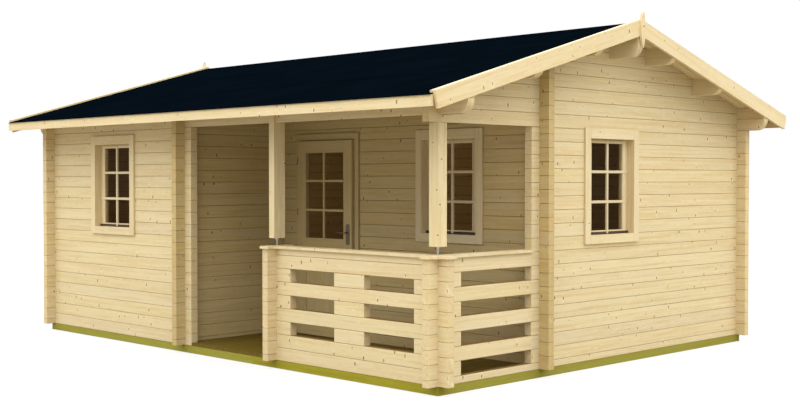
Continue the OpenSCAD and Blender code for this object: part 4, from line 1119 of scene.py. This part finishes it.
# %% Floor
FLOOR_BOUNCE = (0.36, 0.33, 0.27, 1.0)
FLOOR_SIZE, FLOOR_LOW = 120, -0.001
bpy.ops.mesh.primitive_plane_add(size=FLOOR_SIZE, location=(0, 0, FLOOR_LOW))
floor = bpy.context.object
floor.name = "floor"
floor_material, tree = empty_material("pale_floor")
path = add(tree, "ShaderNodeLightPath").outputs
shade = blend_colour(tree, path["Is Camera Ray"], FLOOR_BOUNCE, (0.92, 0.92, 0.92, 1.0))
lit = add(tree, "ShaderNodeBsdfDiffuse", {"Color": shade})
glow = add(tree, "ShaderNodeEmission", {"Color": (1.0, 1.0, 1.0, 1.0), "Strength": 1.0})
mixed = add(tree, "ShaderNodeMixShader",
            {0: times(tree, path["Is Camera Ray"], 0.8), 1: lit.outputs[0], 2: glow.outputs[0]})
add(tree, "ShaderNodeOutputMaterial", {"Surface": mixed.outputs[0]})
floor.data.materials.append(floor_material)

# %% Surround and sun
AMBIENT, HORIZON, ZENITH = 1.45, 0.35, 1.7
SUN, SUN_FROM, SUN_SPREAD = 0.25, (0.50, -0.60, 0.90), math.radians(50)
world = bpy.data.worlds.new("white_surround")
world.use_nodes = True
tree = world.node_tree
tree.nodes.clear()
path = add(tree, "ShaderNodeLightPath").outputs
seen = maths(tree, "MAXIMUM", maths(tree, "MAXIMUM", path["Is Camera Ray"], path["Is Glossy Ray"]),
             path["Is Transmission Ray"])
direction = add(tree, "ShaderNodeTexCoord").outputs["Generated"]
upwards = add(tree, "ShaderNodeSeparateXYZ", {0: direction}).outputs["Z"]
strength = times(tree, ramp(tree, upwards, 0.1, 0.8, HORIZON, ZENITH), AMBIENT)
soft = add(tree, "ShaderNodeBackground", {"Color": (1.0, 0.99, 0.97, 1.0), "Strength": strength})
white = add(tree, "ShaderNodeBackground", {"Color": (1.0, 1.0, 1.0, 1.0), "Strength": 1.0})
mixed = add(tree, "ShaderNodeMixShader", {0: seen, 1: soft.outputs[0], 2: white.outputs[0]})
add(tree, "ShaderNodeOutputWorld", {"Surface": mixed.outputs[0]})
scene.world = world

sun = bpy.data.objects.new("sun", bpy.data.lights.new("sun", "SUN"))
scene.collection.objects.link(sun)
sun.data.energy = SUN
sun.data.angle = SUN_SPREAD
sun.data.color = (1.0, 0.98, 0.94)
sun.rotation_euler = Vector(SUN_FROM).to_track_quat("Z", "Y").to_euler()

# %% [markdown]
# A dim warm lamp hangs in the room behind the door, as a lit cabin has one. It lets the far walls
# show through the glass as a dark brown instead of black. The lamp itself isn't seen.

# %% Room lamp
LAMP_PLACE, LAMP_POWER = (-1.3, 0.7, 1.9), 5
room_lamp = bpy.data.objects.new("room_lamp", bpy.data.lights.new("room_lamp", "POINT"))
scene.collection.objects.link(room_lamp)
room_lamp.data.energy = LAMP_POWER
room_lamp.data.color = (1.0, 0.74, 0.46)
room_lamp.data.shadow_soft_size = 0.4
room_lamp.visible_camera = False
room_lamp.visible_glossy = False
room_lamp.visible_transmission = False
room_lamp.location = LAMP_PLACE

# %% Finish
scene.view_settings.view_transform = "Standard"
